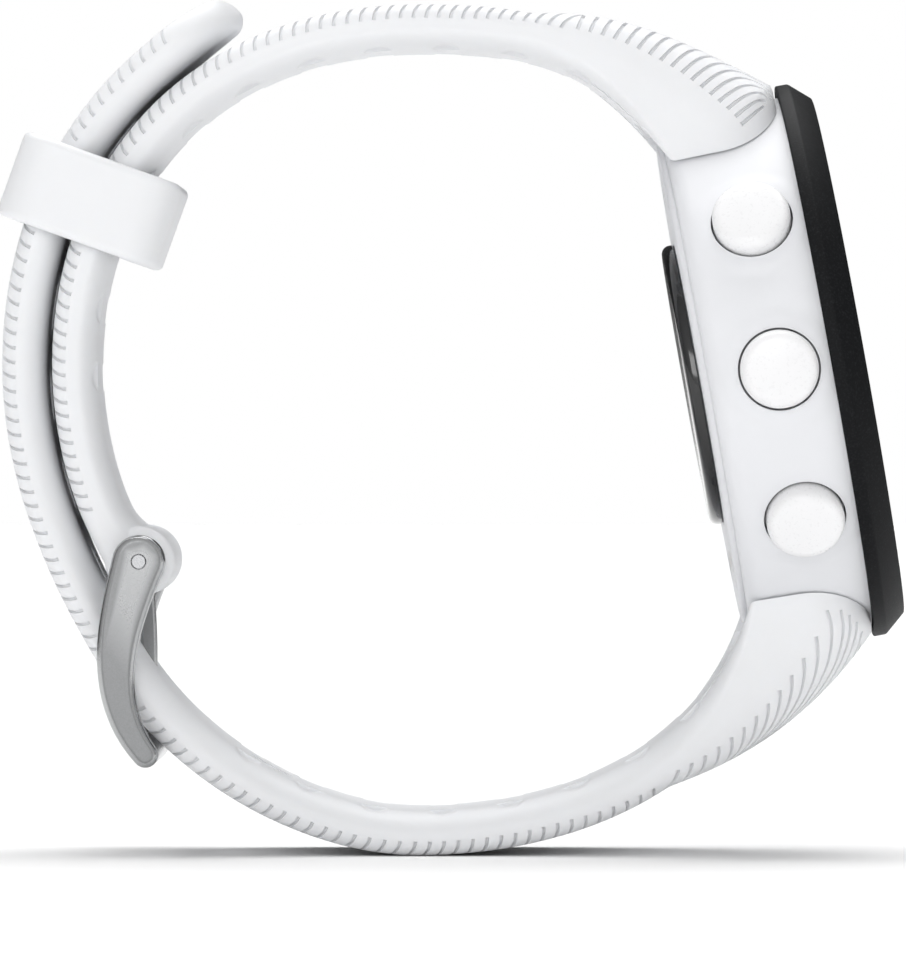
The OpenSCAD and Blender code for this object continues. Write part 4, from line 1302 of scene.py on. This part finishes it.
class WATCH_OT_buttons(bpy.types.Operator):
    """Builds the five button caps with their stems, one on each moving body."""

    bl_idname = "watch.buttons"
    bl_label = "Buttons"

    def execute(self, context):
        case = settings("watch_case")
        case_r, _, _ = case_numbers()
        cap_r, stem_r = mm(case.button_d) / 2, STEM_R
        top, root = case_r + mm(case.button_proud), case_r - CAP_DEPTH
        boss_end = case_r - mm(case.wall) - BOSS_RUN
        slot_z = boss_end - 0.35
        shares = [1 - k / 8 for k in range(1, 9)]
        crown = [[(cap_r - 0.75) * share, top - 0.02 + 0.1 * (1 - share**2)] for share in shares]
        profile = [
            [0, boss_end - 0.55], [stem_r - 0.1, boss_end - 0.55], [stem_r, boss_end - 0.45],
            [stem_r, slot_z], [stem_r - 0.25, slot_z], [stem_r - 0.25, slot_z + 0.3],
            [stem_r, slot_z + 0.3], [stem_r, root], [cap_r - 0.08, root], [cap_r, root + 0.08],
        ]
        profile += arc([cap_r - 0.75, top - 0.77], 0.75, 0, 90, 10) + crown
        for name, turn in button_turns().items():
            piece = lathe(f"{name}_cap", profile, 128, radial(turn))
            body = f"{name}_button"
            finish_piece(piece, body, "button_plastic", materials()["cap"], body, sharp=50)
        return {"FINISHED"}


def mark_edges(piece):
    """Marks the bevelled edges, which polishing has brightened, and evens the flat faces' shading."""
    step = piece.modifiers.new("even", "WEIGHTED_NORMAL")
    step.keep_sharp, step.weight = True, 80
    apply_modifiers(piece)
    normals = np.zeros(len(piece.data.vertices) * 3, np.float32)
    piece.data.vertices.foreach_get("normal", normals)
    lean_y = np.abs(normals.reshape(-1, 3)[:, 1])
    value = ((lean_y > 0.25) & (lean_y < 0.93)).astype(np.float32)
    layer = piece.data.attributes.new("edge", "FLOAT", "POINT")
    layer.data.foreach_set("value", value)


class WATCH_OT_buckle(bpy.types.Operator):
    """Builds the buckle's frame and its tongue, with polished bevels."""

    bl_idname = "watch.buckle"
    bl_label = "Buckle"

    def execute(self, context):
        loop, buckle = Loop(), settings("watch_buckle")
        arm, tongue = buckle_curves(loop)
        pin_r, arm_t = mm(buckle.pin_d) / 2, mm(buckle.arm_t)
        arm_in, edge = loop.width / 2 + 0.25, mm(buckle.edge)
        place = in_plane(loop.pin)
        t = np.linspace(0, 1, 29)
        middle, side = along(arm, t), right_of(way_along(arm, t))
        half = (ARM_TOP / 2 + (ARM_LOW - ARM_TOP) / 2 * t)[:, None]
        first = math.degrees(math.atan2(side[0][1], side[0][0]))
        last = math.degrees(math.atan2(side[-1][1], side[-1][0]))
        outline = np.vstack([
            middle + half * side,
            np.array(arc(arm[3], ARM_LOW / 2, last, last + 180, 12))[1:-1],
            (middle - half * side)[::-1],
            np.array(arc([0, 0], ARM_TOP / 2, first + 180, first + 360, 22))[1:-1],
        ])
        parts = []
        for s in (-1, 1):
            low, high = sorted((s * arm_in, s * (arm_in + arm_t)))
            part = extrude("buckle_frame_body", outline, low, high, place)
            soften(part, edge, 6, 50)
            parts.append(part)
        bar_line = band(arm, ARM_TOP / 2, ARM_LOW / 2, 0.92, 1, 6)
        bar = extrude("bar", bar_line, -arm_in - 0.4, arm_in + 0.4, place)
        end = across("bar", loop.pin + arm[3], ARM_LOW / 2, arm_in + 0.4, 48)
        piece = parts[0]
        combine(piece, [parts[1], bar, end], "UNION")
        cutters = [across("cut", loop.pin, pin_r - 0.2, arm_in + arm_t + 1, 48)]
        notch = mm(buckle.tongue_w) / 2 + NOTCH_GAP
        tongue_half = mm(buckle.tongue_t) / 2
        rest = band(tongue, tongue_half + 0.06, tongue_half + 0.06, 0.6, 1, 8)
        cutters.append(extrude("cut", rest, -notch, notch, place))
        x, z = loop.pin + tongue[3]
        low, high = [x - 2.6, -notch, z - 1.5], [x + tongue_half - 0.1, notch, z + 3.5]
        cutters.append(block("cut", low, high, lambda p: p))
        combine(piece, cutters)
        finish_piece(piece, "buckle_frame", "buckle_steel", materials()["buckle"], "buckle_frame", sharp=30)
        mark_edges(piece)

        eye = across("buckle_tongue_body", loop.pin, pin_r + 0.75, mm(buckle.tongue_w) / 2, 64, 0.15)
        blade = extrude("blade", band(tongue, tongue_half, tongue_half, 0.04, 0.985, 24),
                        -mm(buckle.tongue_w) / 2, mm(buckle.tongue_w) / 2, place)
        soften(blade, 0.22, 3, 50)
        combine(eye, [blade], "UNION")
        combine(eye, [across("cut", loop.pin, pin_r + 0.04, 3, 48)])
        finish_piece(eye, "buckle_tongue", "buckle_steel", materials()["buckle"], "buckle_tongue", sharp=30)
        mark_edges(eye)
        return {"FINISHED"}


NODE_FINISH = {
    "lens_seal": "rubber", "dial_ring": "ink", "display_panel": "display", "light_guide": "diffuser",
    "display_frame": "grey", "main_board": "board", "board_chips": "chips", "battery": "cell",
    "gps_antenna": "brass", "motor_can": "steel", "motor_weight": "tungsten", "motor_shaft": "steel",
    "piezo_disc": "brass", "back_cover": "case", "back_gasket": "rubber", "back_screws": "steel",
    "sensor_board": "board", "sensor_leds": "diffuser", "charge_contacts": "gold",
    "button_switches": "chips", "button_seals": "rubber", "upper_lug_bar": "steel",
    "lower_lug_bar": "steel", "lug_bar_tips": "steel", "lug_bar_springs": "steel", "buckle_pin": "steel",
}


class WATCH_OT_inner_parts(bpy.types.Operator):
    """Gives the CAD parts that stay their finishes."""

    bl_idname = "watch.inner_parts"
    bl_label = "Inner Parts"

    def execute(self, context):
        finishes = dict(NODE_FINISH)
        finishes.update({f"{name}_clip": "steel" for name in button_turns()})
        for node_name, finish in finishes.items():
            obj = frame["nodes"][node_name]
            if not obj.material_slots:
                obj.data.materials.append(None)
            for slot in obj.material_slots:
                slot.material = materials()[finish]
        return {"FINISHED"}


def lamp(name, place, target, width, height, power):
    data = bpy.data.lights.new(name, "AREA")
    data.shape, data.size, data.size_y, data.energy = "RECTANGLE", width, height, power
    made = bpy.data.objects.new(name, data)
    bpy.context.scene.collection.objects.link(made)
    made.location = place
    made.rotation_euler = (Vector(target) - Vector(place)).to_track_quat("-Z", "Y").to_euler()
    return made


class WATCH_OT_stage(bpy.types.Operator):
    """Sets the pale floor, the soft lamps and the camera."""

    bl_idname = "watch.stage"
    bl_label = "Stage"

    def execute(self, context):
        low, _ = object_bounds()
        floor_z = low.z - 0.00005
        half = 3.0
        corners = np.array([[x * half, y * half, floor_z] for x, y in ((-1, -1), (1, -1), (1, 1), (-1, 1))])
        floor = mesh_from("floor", corners / MM, [[0, 1, 2, 3]])
        matt, tree = surface("white_floor_paint")
        where = put(tree, "ShaderNodeTexCoord")
        cloud = put(tree, "ShaderNodeTexNoise", {"Scale": 8.0}, {"Vector": (where, "Object")})
        mix = blend_colours(tree, (cloud, "Fac"), linear("#F7F7F7"), linear("#F4F4F4"))
        shader = put(tree, "ShaderNodeBsdfPrincipled", {"Roughness": 0.9, "Specular IOR Level": 0.1})
        link_colour(tree, mix, shader)
        close_surface(tree, shader)
        floor.data.materials.append(matt)
        floor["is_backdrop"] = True

        sky = bpy.data.lights.new("lamp_above", "SUN")
        sky.energy, sky.angle = 2.9, math.radians(60)
        above = bpy.data.objects.new("lamp_above", sky)
        context.scene.collection.objects.link(above)
        above.rotation_euler = (math.radians(-22), 0, 0)
        lamp("lamp_front", (-0.12, -0.9, 0.25), (0.0, 0.0, 0.0), 0.4, 0.3, 1.5)
        world = bpy.data.worlds.new("pale_room")
        world.use_nodes = True
        room = world.node_tree
        room.nodes.clear()
        seen = put(room, "ShaderNodeLightPath")
        # The room is bright in front of the watch and dim behind it
        where = put(room, "ShaderNodeTexCoord")
        split = put(room, "ShaderNodeSeparateXYZ", links={"Vector": (where, "Generated")})
        glow = remap(room, (split, "Y"), 0.5, -1.0, 0.05, 0.9)
        light = put(room, "ShaderNodeBackground", {"Color": (1, 1, 1, 1)}, {"Strength": (glow, "Result")})
        plain = put(room, "ShaderNodeBackground", {"Color": (1, 1, 1, 1)})
        both = put(
            room, "ShaderNodeMixShader",
            links={0: (seen, "Is Camera Ray"), 1: (light, "Background"), 2: (plain, "Background")},
        )
        put(room, "ShaderNodeOutputWorld", links={"Surface": (both, "Shader")})
        context.scene.world = world
        context.scene.view_settings.view_transform = "Standard"

        data = bpy.data.cameras.new("camera")
        data.sensor_width, data.sensor_fit, data.lens = 36.0, "AUTO", 448.7
        data.clip_start, data.clip_end = 0.05, 20
        camera = bpy.data.objects.new("camera", data)
        context.scene.collection.objects.link(camera)
        camera.location = (0.0097, -0.855, 0.0)
        toward = Vector((0.00446, 0, -0.0038)) - camera.location
        camera.rotation_euler = toward.to_track_quat("-Z", "Y").to_euler()
        context.scene.camera = camera
        return {"FINISHED"}


STEPS = (
    WATCH_OT_upper_strap, WATCH_OT_lower_strap, WATCH_OT_keeper, WATCH_OT_case, WATCH_OT_bezel_and_lens,
    WATCH_OT_dial, WATCH_OT_sensor_window, WATCH_OT_buttons, WATCH_OT_buckle, WATCH_OT_inner_parts,
    WATCH_OT_stage,
)


class VIEW3D_PT_watch(bpy.types.Panel):
    bl_idname = "VIEW3D_PT_watch"
    bl_label = "Running Watch"
    bl_space_type = "VIEW_3D"
    bl_region_type = "UI"
    bl_category = "Watch"

    def draw(self, context):
        for name in SETTINGS:
            group = getattr(context.scene, name)
            box = self.layout.box()
            for key in group.bl_rna.properties.keys():
                if key not in ("rna_type", "name"):
                    box.prop(group, key)
        for step in STEPS:
            self.layout.operator(step.bl_idname)


SETTINGS = {
    "watch_case": WatchCaseSettings,
    "watch_strap": WatchStrapSettings,
    "watch_buckle": WatchBuckleSettings,
    "watch_finish": WatchFinishSettings,
}


def register():
    for group in SETTINGS.values():
        bpy.utils.register_class(group)
    for step in (*STEPS, VIEW3D_PT_watch):
        bpy.utils.register_class(step)
    for name, group in SETTINGS.items():
        setattr(bpy.types.Scene, name, bpy.props.PointerProperty(type=group))


def unregister():
    for name in SETTINGS:
        delattr(bpy.types.Scene, name)
    for step in (VIEW3D_PT_watch, *reversed(STEPS)):
        bpy.utils.unregister_class(step)
    for group in SETTINGS.values():
        bpy.utils.unregister_class(group)


def main():
    register()
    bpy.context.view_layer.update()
    for step in STEPS:
        area, name = step.bl_idname.split(".")
        getattr(getattr(bpy.ops, area), name)()


if __name__ == "__main__":
    main()
